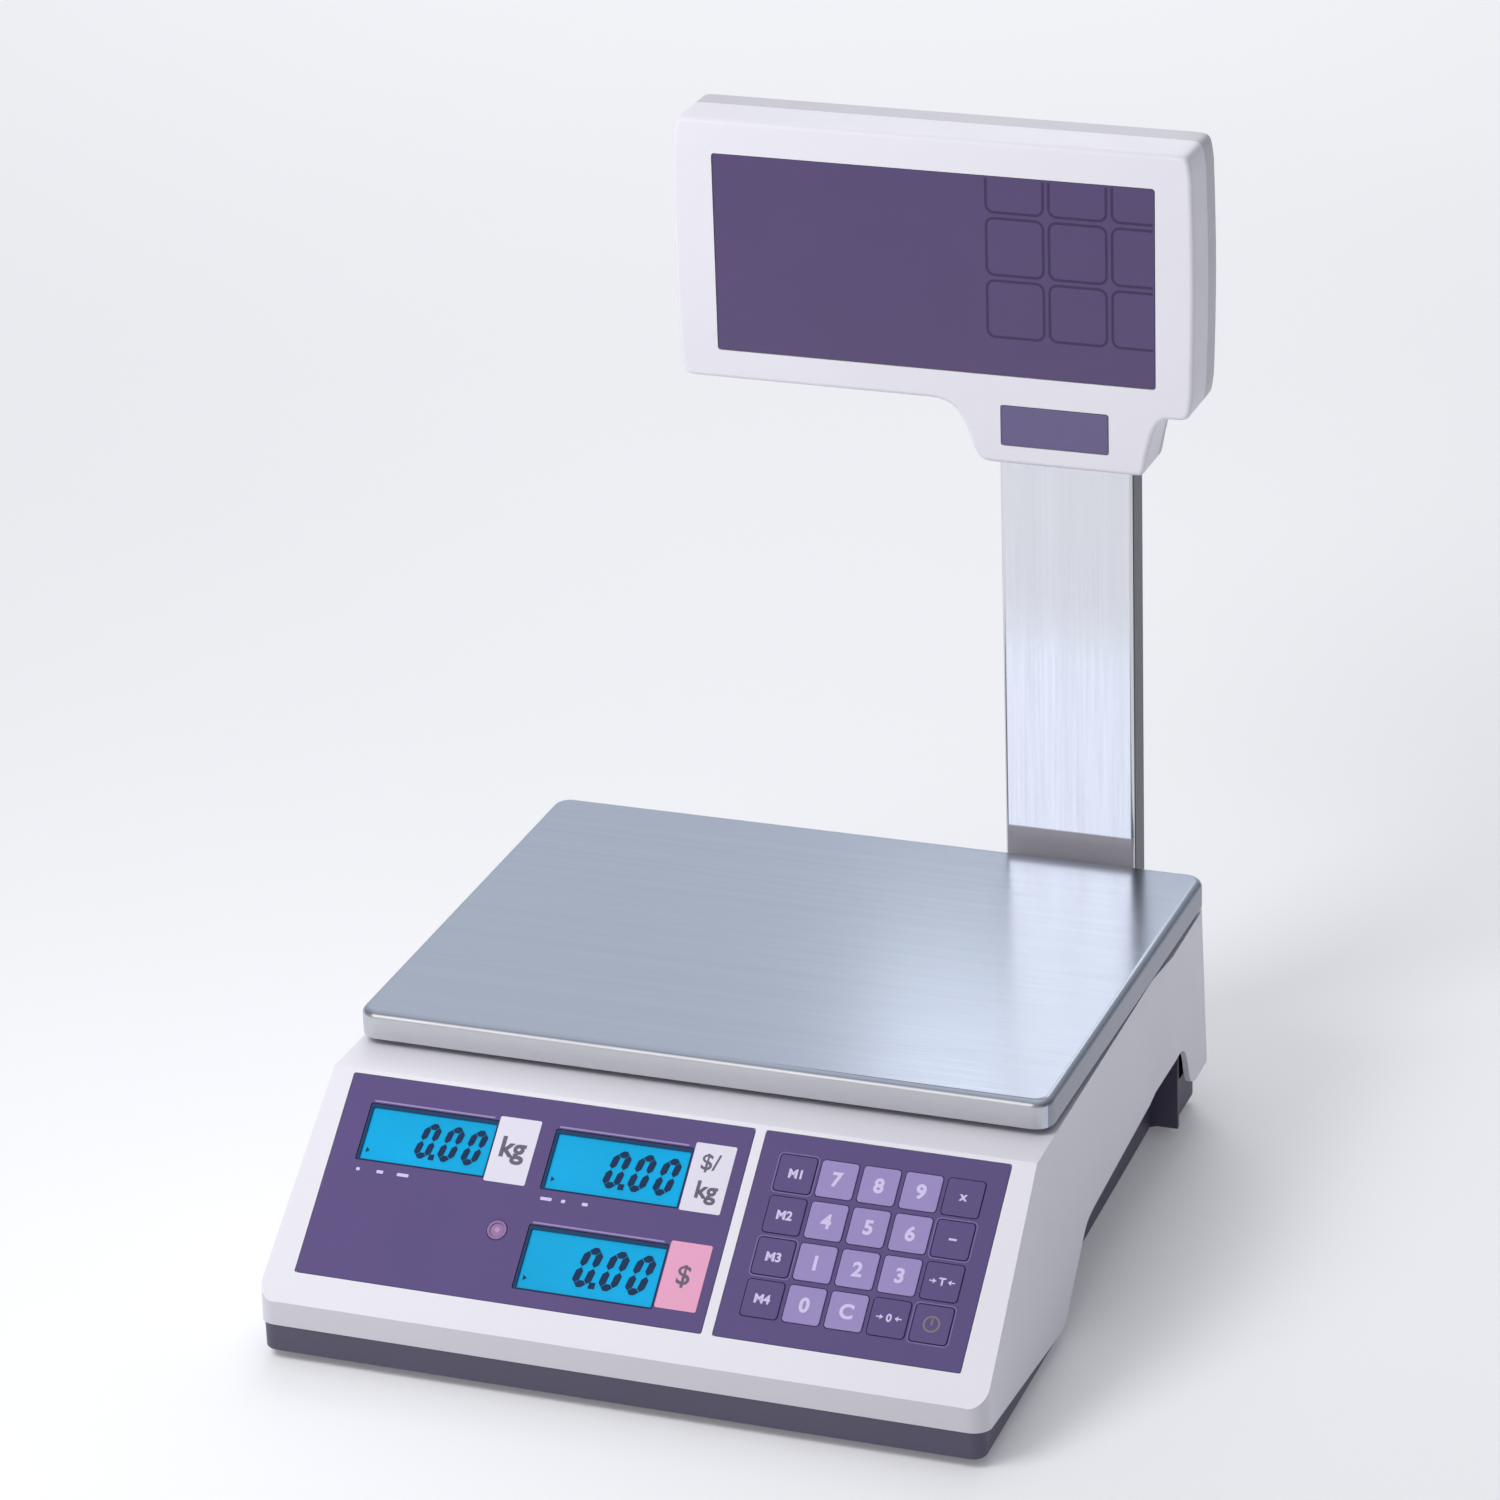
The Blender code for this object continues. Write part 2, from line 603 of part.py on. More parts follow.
def make_pan_support():
    """A cast cross under the platter, with a boss down to the load cell's free end."""
    support = box("pan_support", (-0.024, -0.034, ARM_Z[0]), (0.024, PAN_Y + 0.024, ARM_Z[1]), cast_aluminium())
    arms = []
    for side_x in (-1, 1):
        for side_y in (-1, 1):
            end = Vector((side_x * ARM_REACH[0], PAN_Y + side_y * ARM_REACH[1]))
            start = Vector((0, PAN_Y))
            along = (end - start).normalized()
            across = Vector((-along.y, along.x)) * 0.010
            tip = end + along * 0.006
            outline = [start - across, tip - across, tip + across, start + across]
            arms.append(prism("arm", outline, ARM_Z[0], ARM_Z[1]))
            arms.append(prism("arm_end", disc(end, 0.0125, 20), ARM_Z[0] + 0.0001, ARM_Z[1] - 0.0001))
    boss_z = CELL_Z[1] + WEIGH_TRAVEL + GAP
    boss = box("boss", (-0.014, -0.031, boss_z), (0.014, -0.007, ARM_Z[1] - 0.001))
    return join(support, *arms, boss)


def make_pan_pads():
    names = ("pan_pad_front_left", "pan_pad_front_right", "pan_pad_rear_left", "pan_pad_rear_right")
    for index, name in enumerate(names):
        side_x, side_y = (-1, 1)[index % 2], (-1, 1)[index // 2]
        at = (side_x * ARM_REACH[0], PAN_Y + side_y * ARM_REACH[1])
        top = PAN_TOP_Z - PAN_SHEET - GAP
        pad = prism(name, disc(at, PAD_R, 20), ARM_Z[1] + GAP, top, Z_AXIS, black_rubber())
        bevel_edges(pad, 0.0008, 2, lambda a, b, angle: angle > 1.0 and min(a.z, b.z) > top - 1e-4)


def make_platter():
    low, high = (-PAN_W / 2, PAN_Y - PAN_D / 2), (PAN_W / 2, PAN_Y + PAN_D / 2)
    skirt_z = PAN_TOP_Z - PAN_SKIRT
    platter = prism("platter", rounded_rect(low, high, PAN_CORNER_R, 5), skirt_z, PAN_TOP_Z, Z_AXIS,
                    stainless())
    bevel_edges(platter, 0.0018, 3, lambda a, b, angle: min(a.z, b.z) > PAN_TOP_Z - 1e-5 and angle > 1.0)
    inner_low = (low[0] + PAN_SHEET, low[1] + PAN_SHEET)
    inner_high = (high[0] - PAN_SHEET, high[1] - PAN_SHEET)
    hollow = prism("hollow", rounded_rect(inner_low, inner_high, PAN_CORNER_R - PAN_SHEET, 5), 0.08,
                   PAN_TOP_Z - PAN_SHEET)
    bevel_edges(hollow, 0.0008, 1, lambda a, b, angle: min(a.z, b.z) > PAN_TOP_Z - 0.002 and angle > 1.0)
    return cut(platter, hollow)


# ---------------------------------------------------------------------------------------------- pole and head


def make_pole():
    half = POLE_W / 2
    pole = prism("pole", rounded_rect((POLE_X - half, POLE_Y[0]), (POLE_X + half, POLE_Y[1]), 0.002, 3),
                 POLE_Z[0], POLE_Z[1], Z_AXIS, stainless())
    inner = prism("inner", rounded_rect((POLE_X - half + POLE_WALL, POLE_Y[0] + POLE_WALL),
                                        (POLE_X + half - POLE_WALL, POLE_Y[1] - POLE_WALL), 0.001, 2),
                  0.0, 0.5)
    entry = prism("entry", disc(CABLE_AT, 0.005, 16), POLE_Y[0] - 0.005, POLE_Y[0] + 0.006, Y_AXIS)
    screw_holes = [prism("screw_hole", disc((POLE_X, z), 0.0024, 16), 0.13, 0.19, Y_AXIS) for z in SCREW_Z]
    return cut(pole, inner, entry, *screw_holes)


def make_pole_bracket():
    bracket = prism("pole_bracket", rounded_rect((POLE_X - 0.036, 0.032), (POLE_X + 0.036, 0.092), 0.004, 3),
                    REAR_Y + GAP, POLE_Y[0] - GAP, Y_AXIS, zinc_steel())
    holes = [prism("hole", disc((POLE_X, z), 0.0024, 16), 0.13, 0.19, Y_AXIS) for z in SCREW_Z]
    holes.append(prism("cable_hole", disc(CABLE_AT, 0.005, 16), 0.13, 0.19, Y_AXIS))
    return cut(bracket, *holes)


def make_pole_screws():
    for name, z in zip(("pole_screw_lower", "pole_screw_upper"), SCREW_Z):
        screw = prism(name, disc((POLE_X, z), 0.0042, 20), POLE_Y[1] + GAP, POLE_Y[1] + 0.0026, Y_AXIS,
                      zinc_steel())
        bevel_edges(screw, 0.0008, 2, lambda a, b, angle: min(a.y, b.y) > POLE_Y[1] + 0.002 and angle > 1.0)
        shank = prism("shank", disc((POLE_X, z), 0.0020, 16), REAR_Y + 0.0008, POLE_Y[1] + 0.001, Y_AXIS)
        join(screw, shank)


def make_pole_cable():
    """The display's cable: out of the housing's rear wall, into the pole and up to the display board."""
    x, z = CABLE_AT
    mid_y = sum(POLE_Y) / 2
    turn = 0.007
    route = [Vector((x, 0.1360, z)), Vector((x, 0.1480, z)), Vector((x, mid_y - turn, z))]
    for step in range(1, 7):
        angle = math.radians(90 * step / 6)
        route.append(Vector((x, mid_y - turn + turn * math.sin(angle), z + turn * (1 - math.cos(angle)))))
    foot_z, top_z, runs = z + turn, POLE_Z[1] - 0.004, 24
    route += [Vector((x, mid_y, foot_z + (top_z - foot_z) * step / runs)) for step in range(1, runs + 1)]
    curve = bpy.data.curves.new("pole_cable", "CURVE")
    curve.dimensions = "3D"
    curve.bevel_depth = CABLE_R
    curve.bevel_resolution = 2
    curve.use_fill_caps = True
    spline = curve.splines.new("POLY")
    spline.points.add(len(route) - 1)
    for point, place in zip(spline.points, route):
        point.co = (*place, 1)
    curve.materials.append(black_rubber())
    cable = bpy.data.objects.new("pole_cable", curve)
    bpy.context.scene.collection.objects.link(cable)


def head_outline(inset, with_neck=True):
    """The display head's outline in x-z: gently bowed ends, round corners and a neck above the pole."""
    low, high = HEAD_Z[0] + inset, HEAD_Z[1] - inset
    left, right = HEAD_X - HEAD_HALF_W + inset, HEAD_X + HEAD_HALF_W - inset
    corner = 0.011
    waist = 0.0025                       # how much narrower the head is at its top and bottom
    mid = (low + high) / 2

    def end(x, inward, first, last):
        """One bowed end, from the edge at height first round to the edge at height last."""
        way = math.copysign(corner, last - first)
        tip, shoulder, start = x + inward * waist, x + inward * waist / 2, x + inward * corner
        low_corner = bezier((start, first), (tip, first), (tip, first), (shoulder, first + way), 4)
        high_corner = bezier((shoulder, last - way), (tip, last), (tip, last), (start, last), 4)
        return [(start, first), *low_corner, (x, mid), (shoulder, last - way), *high_corner]

    points = end(right, -1, low, high) + end(left, 1, high, low)
    return points + (neck_outline(inset, low)[:-1] if with_neck else [])


def neck_outline(inset, low):
    """Points of the neck's edge, from its left fillet round to its right one."""
    bottom = NECK_Z + inset
    points = [(0.028, low)]
    points += bezier((0.028, low), (0.040, low), (0.0430 + inset, low - 0.006), (0.0465 + inset, 0.3050), 4)
    points += bezier((0.0465 + inset, 0.3050), (0.0500 + inset, bottom), (0.0520 + inset, bottom),
                     (0.0580 + inset, bottom), 3)
    points += [(0.1200 - inset, bottom)]
    points += bezier((0.1200 - inset, bottom), (0.1240 - inset, bottom), (0.1245 - inset, bottom),
                     (0.1255 - inset, 0.3010 + inset), 3)
    points += bezier((0.1255 - inset, 0.3010 + inset), (0.1290 - inset, low - 0.004), (0.1310 - inset, low),
                     (0.1365 - inset, low), 4)
    return points


def pole_clearance():
    half = POLE_W / 2 + GAP
    return box("pole_clearance", (POLE_X - half, POLE_Y[0] - GAP, 0.28), (POLE_X + half, POLE_Y[1] + GAP, 0.41))


def make_head_front():
    shell = prism("head_front", head_outline(0.0), HEAD_Y[0], HEAD_Y[1] - GAP, Y_AXIS, white_plastic())
    bevel_edges(shell, 0.003, 3, lambda a, b, angle: max(a.y, b.y) < HEAD_Y[0] + 1e-5 and angle > 1.0)
    cavity = prism("cavity", head_outline(HEAD_WALL), HEAD_Y[0] + 0.0046, HEAD_Y[2], Y_AXIS)
    window = prism("window_pocket", rounded_rect((WINDOW_X[0] - GAP, WINDOW_Z[0] - GAP),
                                                 (WINDOW_X[1] + GAP, WINDOW_Z[1] + GAP), 0.0015, 3),
                   HEAD_Y[0] - 0.01, HEAD_Y[0] + 0.0026, Y_AXIS)
    opening = prism("window_opening", rounded_rect((WINDOW_X[0] + 0.004, WINDOW_Z[0] + 0.004),
                                                   (WINDOW_X[1] - 0.004, WINDOW_Z[1] - 0.004), 0.001, 1),
                    HEAD_Y[0] - 0.01, HEAD_Y[0] + 0.01, Y_AXIS)
    badge = prism("badge_pocket", rounded_rect((BADGE_X[0] - GAP, BADGE_Z[0] - GAP),
                                               (BADGE_X[1] + GAP, BADGE_Z[1] + GAP), 0.0012, 3),
                  HEAD_Y[0] - 0.01, HEAD_Y[0] + 0.0012, Y_AXIS)
    return cut(shell, cavity, window, opening, badge, pole_clearance())


def make_head_back():
    seam = HEAD_Y[1]
    shell = prism("head_back", head_outline(0.0, False), seam, HEAD_Y[2], Y_AXIS, white_plastic())
    bevel_edges(shell, 0.006, 3, lambda a, b, angle: min(a.y, b.y) > HEAD_Y[2] - 1e-5 and angle > 1.0)
    cavity = prism("cavity", head_outline(HEAD_WALL, False), seam - 0.01, HEAD_Y[2] - HEAD_WALL, Y_AXIS)
    cut(shell, cavity)
    collar = prism("collar", neck_outline(0.0, HEAD_Z[0] + 0.0022), seam, seam + 0.0050, Y_AXIS)
    join(shell, collar)
    vents = [prism("vent", rounded_rect((HEAD_X - 0.040, z), (HEAD_X + 0.040, z + 0.002), 0.0009, 2),
                   HEAD_Y[2] - 0.01, HEAD_Y[2] + 0.01, Y_AXIS) for z in (0.405, 0.411, 0.417)]
    return cut(shell, *vents)


def make_head_window():
    tinted = material("tinted_window", (0.10, 0.06, 0.20), 0.12)
    outline = rounded_rect((WINDOW_X[0], WINDOW_Z[0]), (WINDOW_X[1], WINDOW_Z[1]), 0.0012, 3)
    return prism("head_window", outline, HEAD_Y[0] + 0.0002, HEAD_Y[0] + 0.0022, Y_AXIS, tinted)


def make_head_badge():
    return prism("head_badge", rounded_rect((BADGE_X[0], BADGE_Z[0]), (BADGE_X[1], BADGE_Z[1]), 0.0010, 3),
                 HEAD_Y[0] - 0.0001, HEAD_Y[0] + 0.0008, Y_AXIS, overlay_film())


def make_head_display():
    return box("head_display", (-0.060, HEAD_Y[0] + 0.0027, 0.343), (0.122, HEAD_Y[0] + 0.0044, 0.416),
               material("dark_glass", (0.02, 0.02, 0.03), 0.2))


def make_head_board():
    board = box("head_board", (-0.066, HEAD_Y[0] + 0.0048, 0.3325), (0.050, HEAD_Y[0] + 0.0064, 0.4225),
                circuit_board())
    header = box("header", (0.030, HEAD_Y[0] + 0.0060, 0.3700), (0.046, HEAD_Y[0] + 0.0150, 0.3780))
    return join(board, header)


def main():
    clear_scene()
    make_upper_housing()
    make_base_tray()
    make_battery_door()
    make_feet()
    make_display_panel()
    make_keypad_panel()
    make_keys()
    make_lcds()
    make_bubble_level()
    make_display_board()
    make_key_board()
    make_main_board()
    make_battery()
    make_transformer()
    make_power_inlet()
    make_load_cell()
    make_load_cell_mount()
    make_pan_support()
    make_pan_pads()
    make_platter()
    make_pole()
    make_pole_bracket()
    make_pole_screws()
    make_pole_cable()
    make_head_front()
    make_head_back()
    make_head_window()
    make_head_badge()
    make_head_display()
    make_head_board()


main()
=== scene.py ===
import math

import bmesh
import bpy
from mathutils import Matrix, Vector


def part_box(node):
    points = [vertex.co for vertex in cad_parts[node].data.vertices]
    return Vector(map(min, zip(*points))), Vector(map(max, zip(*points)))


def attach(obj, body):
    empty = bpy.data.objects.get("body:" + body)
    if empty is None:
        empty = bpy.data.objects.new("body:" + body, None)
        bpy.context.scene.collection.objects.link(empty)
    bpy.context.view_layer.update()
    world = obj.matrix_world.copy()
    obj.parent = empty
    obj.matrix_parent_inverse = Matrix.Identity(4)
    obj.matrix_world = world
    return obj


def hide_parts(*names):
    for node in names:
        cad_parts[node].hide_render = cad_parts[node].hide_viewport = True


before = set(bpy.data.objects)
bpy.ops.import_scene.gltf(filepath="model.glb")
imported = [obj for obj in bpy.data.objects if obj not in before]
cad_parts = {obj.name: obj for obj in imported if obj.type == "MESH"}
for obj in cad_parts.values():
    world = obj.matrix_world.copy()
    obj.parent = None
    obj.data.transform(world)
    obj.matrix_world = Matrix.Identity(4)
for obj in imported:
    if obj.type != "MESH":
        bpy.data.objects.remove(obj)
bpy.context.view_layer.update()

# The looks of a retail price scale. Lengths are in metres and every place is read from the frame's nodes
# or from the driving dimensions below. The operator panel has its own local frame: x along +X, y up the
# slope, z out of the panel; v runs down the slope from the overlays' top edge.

MM = 0.001
X_AXIS, Y_AXIS, Z_AXIS = Vector((1, 0, 0)), Vector((0, 1, 0)), Vector((0, 0, 1))
X, Y, Z = range(3)
PAST = 10 * MM               # how far a cutter reaches past a surface
FAR = 200 * MM               # past the whole width of the body

# Housing
FRONT_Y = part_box("upper_housing")[0].y
REAR_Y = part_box("upper_housing")[1].y
DECK_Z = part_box("upper_housing")[1].z
LIP_LOW_Z = 16.7 * MM
LIP_TOP_Z = 27.7 * MM
SLOPE = math.radians(39.5)
WALL = 2.5 * MM
PANEL_WALL = 3.0 * MM
HALF_WIDTH = 156.6 * MM
TAPER_FROM_Y = -103.7 * MM
DRAFT_Z = 0.030              # how much narrower the housing gets for each metre upwards
DRAFT_Y = 0.020              # and for each metre backwards
STEP_Y = (70.0 * MM, 95.0 * MM)
STEP_OUT = 2.5 * MM
CORNER_R = 8.0 * MM
EDGE_R = 2.5 * MM
LIP_R = 1.1 * MM

# Tray and hand grips
TRAY_WALL = 2.8 * MM
TRAY_FLOOR = 3.0 * MM
TRAY_FRONT_X = (157.0 * MM, 155.5 * MM)
TRAY_REAR_X = 147.5 * MM
GRIP_Y = (-79.0 * MM, 108.5 * MM)
GRIP_X = (143.5 * MM, 138.5 * MM)
GRIP_WALL = 2.5 * MM
GRIP_TOP_Z = 53.0 * MM

# Operator panel
OVERLAY_TOP = (-105.4 * MM, 94.6 * MM)
OVERLAY_LENGTH = 90.8 * MM
OVERLAY_T = 0.8 * MM
GAP = 0.3 * MM
DISPLAY_X = (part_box("display_panel")[0].x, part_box("display_panel")[1].x)
KEYPAD_X = (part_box("keypad_panel")[0].x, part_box("keypad_panel")[1].x)
LCD_V = {"lcd_weight": (12.3 * MM, 37.7 * MM), "lcd_unit_price": (12.3 * MM, 39.0 * MM),
         "lcd_total": (55.4 * MM, 83.5 * MM)}
LCD_FACE = -1.3 * MM
# The surround is partly a real dark border and partly painted shade: its wider strips at the left and above
# stand for the recess's inner shadow.
LCD_EDGE = (1.1 * MM, 0.5 * MM, 1.5 * MM, 0.5 * MM)     # surround left, right, above and below the glass
PRINT_Z = (0.01 * MM, 0.06 * MM)                        # printed marks, above the film
LEVEL_AT = (-63.2 * MM, 59.9 * MM)
LEVEL_R = 4.2 * MM

# Keys
KEY_W = 15.8 * MM
KEY_H = 16.0 * MM
KEY_PITCH = (17.96 * MM, 18.42 * MM)
KEY_FIRST = (56.2 * MM, 17.2 * MM)
KEY_PROUD = 0.35 * MM
KEY_T = 1.5 * MM
KEY_ROWS = (
    (("m1", "M1"), ("7", "7"), ("8", "8"), ("9", "9"), ("multiply", "x")),
    (("m2", "M2"), ("4", "4"), ("5", "5"), ("6", "6"), ("minus", "-")),
    (("m3", "M3"), ("1", "1"), ("2", "2"), ("3", "3"), ("tare", "T")),
    (("m4", "M4"), ("0", "0"), ("clear", "C"), ("zero", "0"), ("power", "")),
)
DARK_KEYS = ("m1", "m2", "m3", "m4", "multiply", "minus", "tare", "zero", "power")
FRAMED_KEYS = ("m1", "m3", "minus", "power")
ARROW_KEYS = ("tare", "zero")

# Platter, pole and customer display
PAN_CORNER_R = 8.0 * MM
PAN_SHEET = 1.2 * MM
PAN_ROLL = 3.4 * MM
PAN_CLEARANCE = 1.0 * MM
POLE_WALL = 1.5 * MM
POLE_SCREWS = ("pole_screw_lower", "pole_screw_upper")
CABLE_EXIT = (74 * MM, 62 * MM)
HEAD_WALL = 2.5 * MM
HEAD_SEAM = 0.3 * MM
HEAD_FRONT_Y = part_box("head_front")[0].y
HEAD_SEAM_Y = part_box("head_back")[0].y
HEAD_BACK_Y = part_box("head_back")[1].y
HEAD_X = 30.0 * MM
HEAD_HALF_W = 117.5 * MM
HEAD_Z = (321.5 * MM, 439.5 * MM)
NECK_Z = 294.5 * MM

# Light: direction, sharpness, strength and colour of each soft panel around the stage
SOFT_PANELS = (
    ((-0.35, -0.85, 0.40), 24.0, 2.35, (1.00, 0.98, 0.95)),     # front left, which the pole mirrors
    ((-0.30, 0.87, 0.40), 4.0, 0.62, (0.90, 0.95, 1.00)),       # wall behind, which the platter mirrors
    ((-1.00, 0.10, 0.25), 2.0, 0.30, (0.95, 0.97, 1.00)),       # left wall
    ((0.30, -0.90, 0.35), 4.0, 0.22, (0.94, 0.96, 1.00)),       # front right, dim
    ((0.90, -0.10, 0.42), 3.0, 0.08, (0.90, 0.94, 1.00)),       # right wall, dim
    ((0.75, 0.62, 0.38), 6.0, 0.14, (0.92, 0.95, 1.00)),        # behind on the right, dim
    ((0.00, 0.00, 1.00), 4.0, 0.68, (0.98, 0.98, 1.00)),        # ceiling
)
ROOM_LIGHT = (0.038, 0.042, 0.058)
FLOOR_GLOW = 0.13
# Softboxes: place, the point it faces, size, power and whether mirrors show it
SOFTBOXES = {
    "key": ((-0.38, -0.62, 0.90), (0.0, 0.0, 0.2), (0.45, 0.45), 5.2, False),
    "rear": ((-0.02, 0.80, 0.76), (0.0, 0.0, 0.2), (0.50, 0.44), 0.62, True),
    "backdrop": ((-0.70, 2.10, 1.90), (-0.75, 1.80, 0.0), (2.0, 1.4), 19.0, False),
}

# Camera and stage
CAMERA_AZIMUTH = math.radians(20.96)
CAMERA_ELEVATION = math.radians(23.60)
CAMERA_ROLL = math.radians(-2.02)
CAMERA_DISTANCE = 2.475
CAMERA_TARGET = Vector((-0.0195, 0.0440, 0.1944))
CAMERA_LENS = 138.98


# -------------------- mesh helpers


def add_object(name, data, mat=None):
    obj = bpy.data.objects.new(name, data)
    bpy.context.scene.collection.objects.link(obj)
    if mat:
        data.materials.clear()
        data.materials.append(mat)
    return obj


def smooth(mesh):
    mesh.shade_smooth()
    mesh.set_sharp_from_angle(angle=math.radians(38))


def from_bmesh(name, bm, mat=None):
    bmesh.ops.recalc_face_normals(bm, faces=bm.faces)
    mesh = bpy.data.meshes.new(name)
    bm.to_mesh(mesh)
    bm.free()
    smooth(mesh)
    return add_object(name, mesh, mat)


def prism(name, outline, low, high, axis=Z_AXIS, mat=None):
    """Extrudes a 2-D outline, (x, y), (x, z) or (y, z), along a world axis."""
    bm = bmesh.new()
    verts = []
    for point in outline:
        place = list(point)
        place.insert(max(range(3), key=lambda i: axis[i]), low)
        verts.append(bm.verts.new(place))
    face = bm.faces.new(verts)
    moved = bmesh.ops.extrude_face_region(bm, geom=[face])
    tips = [item for item in moved["geom"] if isinstance(item, bmesh.types.BMVert)]
    bmesh.ops.translate(bm, verts=tips, vec=axis * (high - low))
    return from_bmesh(name, bm, mat)


def box(name, low, high):
    outline = [(low[0], low[1]), (high[0], low[1]), (high[0], high[1]), (low[0], high[1])]
    return prism(name, outline, low[2], high[2])


def middle(node):
    low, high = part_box(node)
    return (low + high) / 2


def rounded_rect(low, high, radius, steps=6):
    points = []
    corners = ((high[0], high[1], 0), (low[0], high[1], 90), (low[0], low[1], 180), (high[0], low[1], 270))
    for x, y, start in corners:
        cx = x - math.copysign(radius, x - (low[0] + high[0]) / 2)
        cy = y - math.copysign(radius, y - (low[1] + high[1]) / 2)
        for step in range(steps + 1):
            angle = math.radians(start + 90 * step / steps)
            points.append((cx + radius * math.cos(angle), cy + radius * math.sin(angle)))
    return points


def disc(center, radius, steps=40):
    angles = [2 * math.pi * step / steps for step in range(steps)]
    return [(center[0] + radius * math.cos(a), center[1] + radius * math.sin(a)) for a in angles]


def curve_to(points, first, second, end, steps=8):
    """Continues an outline along a Bezier curve from its last point."""
    controls = (points[-1], first, second, end)
    for step in range(1, steps + 1):
        t = step / steps
        weights = ((1 - t) ** 3, 3 * t * (1 - t) ** 2, 3 * t * t * (1 - t), t ** 3)
        points.append(tuple(sum(w * p[i] for w, p in zip(weights, controls)) for i in (0, 1)))


def bake(obj):
    graph = bpy.context.evaluated_depsgraph_get()
    mesh = bpy.data.meshes.new_from_object(obj.evaluated_get(graph))
    obj.modifiers.clear()
    obj.data = mesh
    smooth(mesh)


def combine(obj, others, operation):
    for other in others:
        modifier = obj.modifiers.new(operation.lower(), "BOOLEAN")
        modifier.operation = operation
        modifier.object = other
    bpy.context.view_layer.update()
    bake(obj)
    for other in others:
        bpy.data.objects.remove(other, do_unlink=True)
    return obj


def cut(obj, *cutters):
    return combine(obj, cutters, "DIFFERENCE")


def join(obj, *others):
    return combine(obj, others, "UNION")


def bevel_edges(obj, width, segments, keep):
    """Rounds the edges whose ends a, b and face angle satisfy keep(a, b, angle)."""
    bm = bmesh.new()
    bm.from_mesh(obj.data)
    bm.normal_update()
    edges = [
        edge for edge in bm.edges
        if len(edge.link_faces) == 2 and keep(edge.verts[0].co, edge.verts[1].co, edge.calc_face_angle())
    ]
    bmesh.ops.bevel(bm, geom=edges, offset=width, segments=segments, profile=0.5, affect="EDGES",
                    clamp_overlap=True)
    bm.to_mesh(obj.data)
    bm.free()
    smooth(obj.data)
    return obj


def on_face(axis, place, angle_over=1.0):
    """For bevel_edges: keeps the sharp edges that lie in the face at a place on an axis."""
    return lambda a, b, angle: max(abs(a[axis] - place), abs(b[axis] - place)) < 1e-5 and angle > angle_over


def even_shading(obj):
    """Weights the normals by face area, so that large flat faces stay flat beside their rounded edges."""
    modifier = obj.modifiers.new("even_shading", "WEIGHTED_NORMAL")
    modifier.keep_sharp = True
    modifier.weight = 100
    return obj


def paint_light_by_facing(obj, plain, side, front):
    """The side copy of the material, painted darker as shade, on faces that look along X; the front copy,
    with painted light or reflection, on faces along -Y.
    """
    obj.data.materials.clear()
    for mat in (plain, side, front):
        obj.data.materials.append(mat)
    for polygon in obj.data.polygons:
        normal = polygon.normal
        polygon.material_index = 1 if abs(normal.x) > 0.8 else 2 if normal.y < -0.8 else 0


def merge(name, objects):
    """One object from several separate ones, each already in place."""
    bm = bmesh.new()
    mats = []
    for obj in objects:
        mat = obj.data.materials[0]
        if mat not in mats:
            mats.append(mat)
        offset = len(bm.faces)
        bm.from_mesh(obj.data)
        bm.faces.ensure_lookup_table()
        for face in bm.faces[offset:]:
            face.material_index = mats.index(mat)
        moved = {vert for face in bm.faces[offset:] for vert in face.verts}
        bmesh.ops.transform(bm, matrix=obj.matrix_world, verts=list(moved))
        bpy.data.objects.remove(obj, do_unlink=True)
    made = from_bmesh(name, bm)
    for mat in mats:
        made.data.materials.append(mat)
    return made


def stands_for(piece, body, slot, *nodes):
    """The piece rides on the body and replaces the CAD nodes, which it hides. The slot is not used."""
    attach(piece, body)
    if nodes:
        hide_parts(*nodes)
    return piece


# -------------------- materials


def feed(tree, node, inputs):
    """Links or sets a node's inputs, given by name or by number."""
    for key, value in inputs.items():
        if isinstance(value, bpy.types.NodeSocket):
            tree.links.new(value, node.inputs[key])
        else:
            node.inputs[key].default_value = value


def add_node(tree, kind, output, inputs=None, **settings):
    """Adds a node and returns one of its outputs."""
    node = tree.nodes.new("ShaderNode" + kind)
    for key, value in settings.items():
        setattr(node, key, value)
    feed(tree, node, inputs or {})
    return node.outputs[output]


def new_material(name):
    mat = bpy.data.materials.new(name)
    mat.use_nodes = True
    return mat, mat.node_tree, mat.node_tree.nodes["Principled BSDF"]


def noise(tree, scale, detail=3.0, stretch=(1, 1, 1), roughness=0.5):
    coords = add_node(tree, "TexCoord", "Object")
    mapped = add_node(tree, "Mapping", "Vector", {"Vector": coords, "Scale": stretch})
    inputs = {"Vector": mapped, "Scale": scale, "Detail": detail, "Roughness": roughness}
    return add_node(tree, "TexNoise", "Fac", inputs)


def spread(tree, value, low, high):
    """Maps a noise value, nearly always 0.3 to 0.7, onto a range."""
    inputs = {"Value": value, "From Min": 0.3, "From Max": 0.7, "To Min": low, "To Max": high}
    return add_node(tree, "MapRange", "Result", inputs)


def ramp(tree, output, axis, start, end):
    """Goes from 0 to 1 as one axis of a texture coordinate goes from start to end."""
    part = add_node(tree, "SeparateXYZ", axis, {"Vector": add_node(tree, "TexCoord", output)})
    return add_node(tree, "MapRange", "Result", {"Value": part, "From Min": start, "From Max": end})


def mix(tree, factor, first, second):
    """Goes from the first colour to the second, each RGB or the output of a node."""
    inputs = {"Factor": factor}
    for key, color in (("A", first), ("B", second)):
        inputs[key] = color if isinstance(color, bpy.types.NodeSocket) else (*color, 1)
    return add_node(tree, "Mix", "Result", inputs, data_type="RGBA")


def mottled(tree, value, color, dark, light):
    """A colour between its darker and its lighter shade, as a noise value says."""
    shades = [tuple(min(1.0, channel * factor) for channel in color) for factor in (dark, light)]
    return mix(tree, value, *shades)


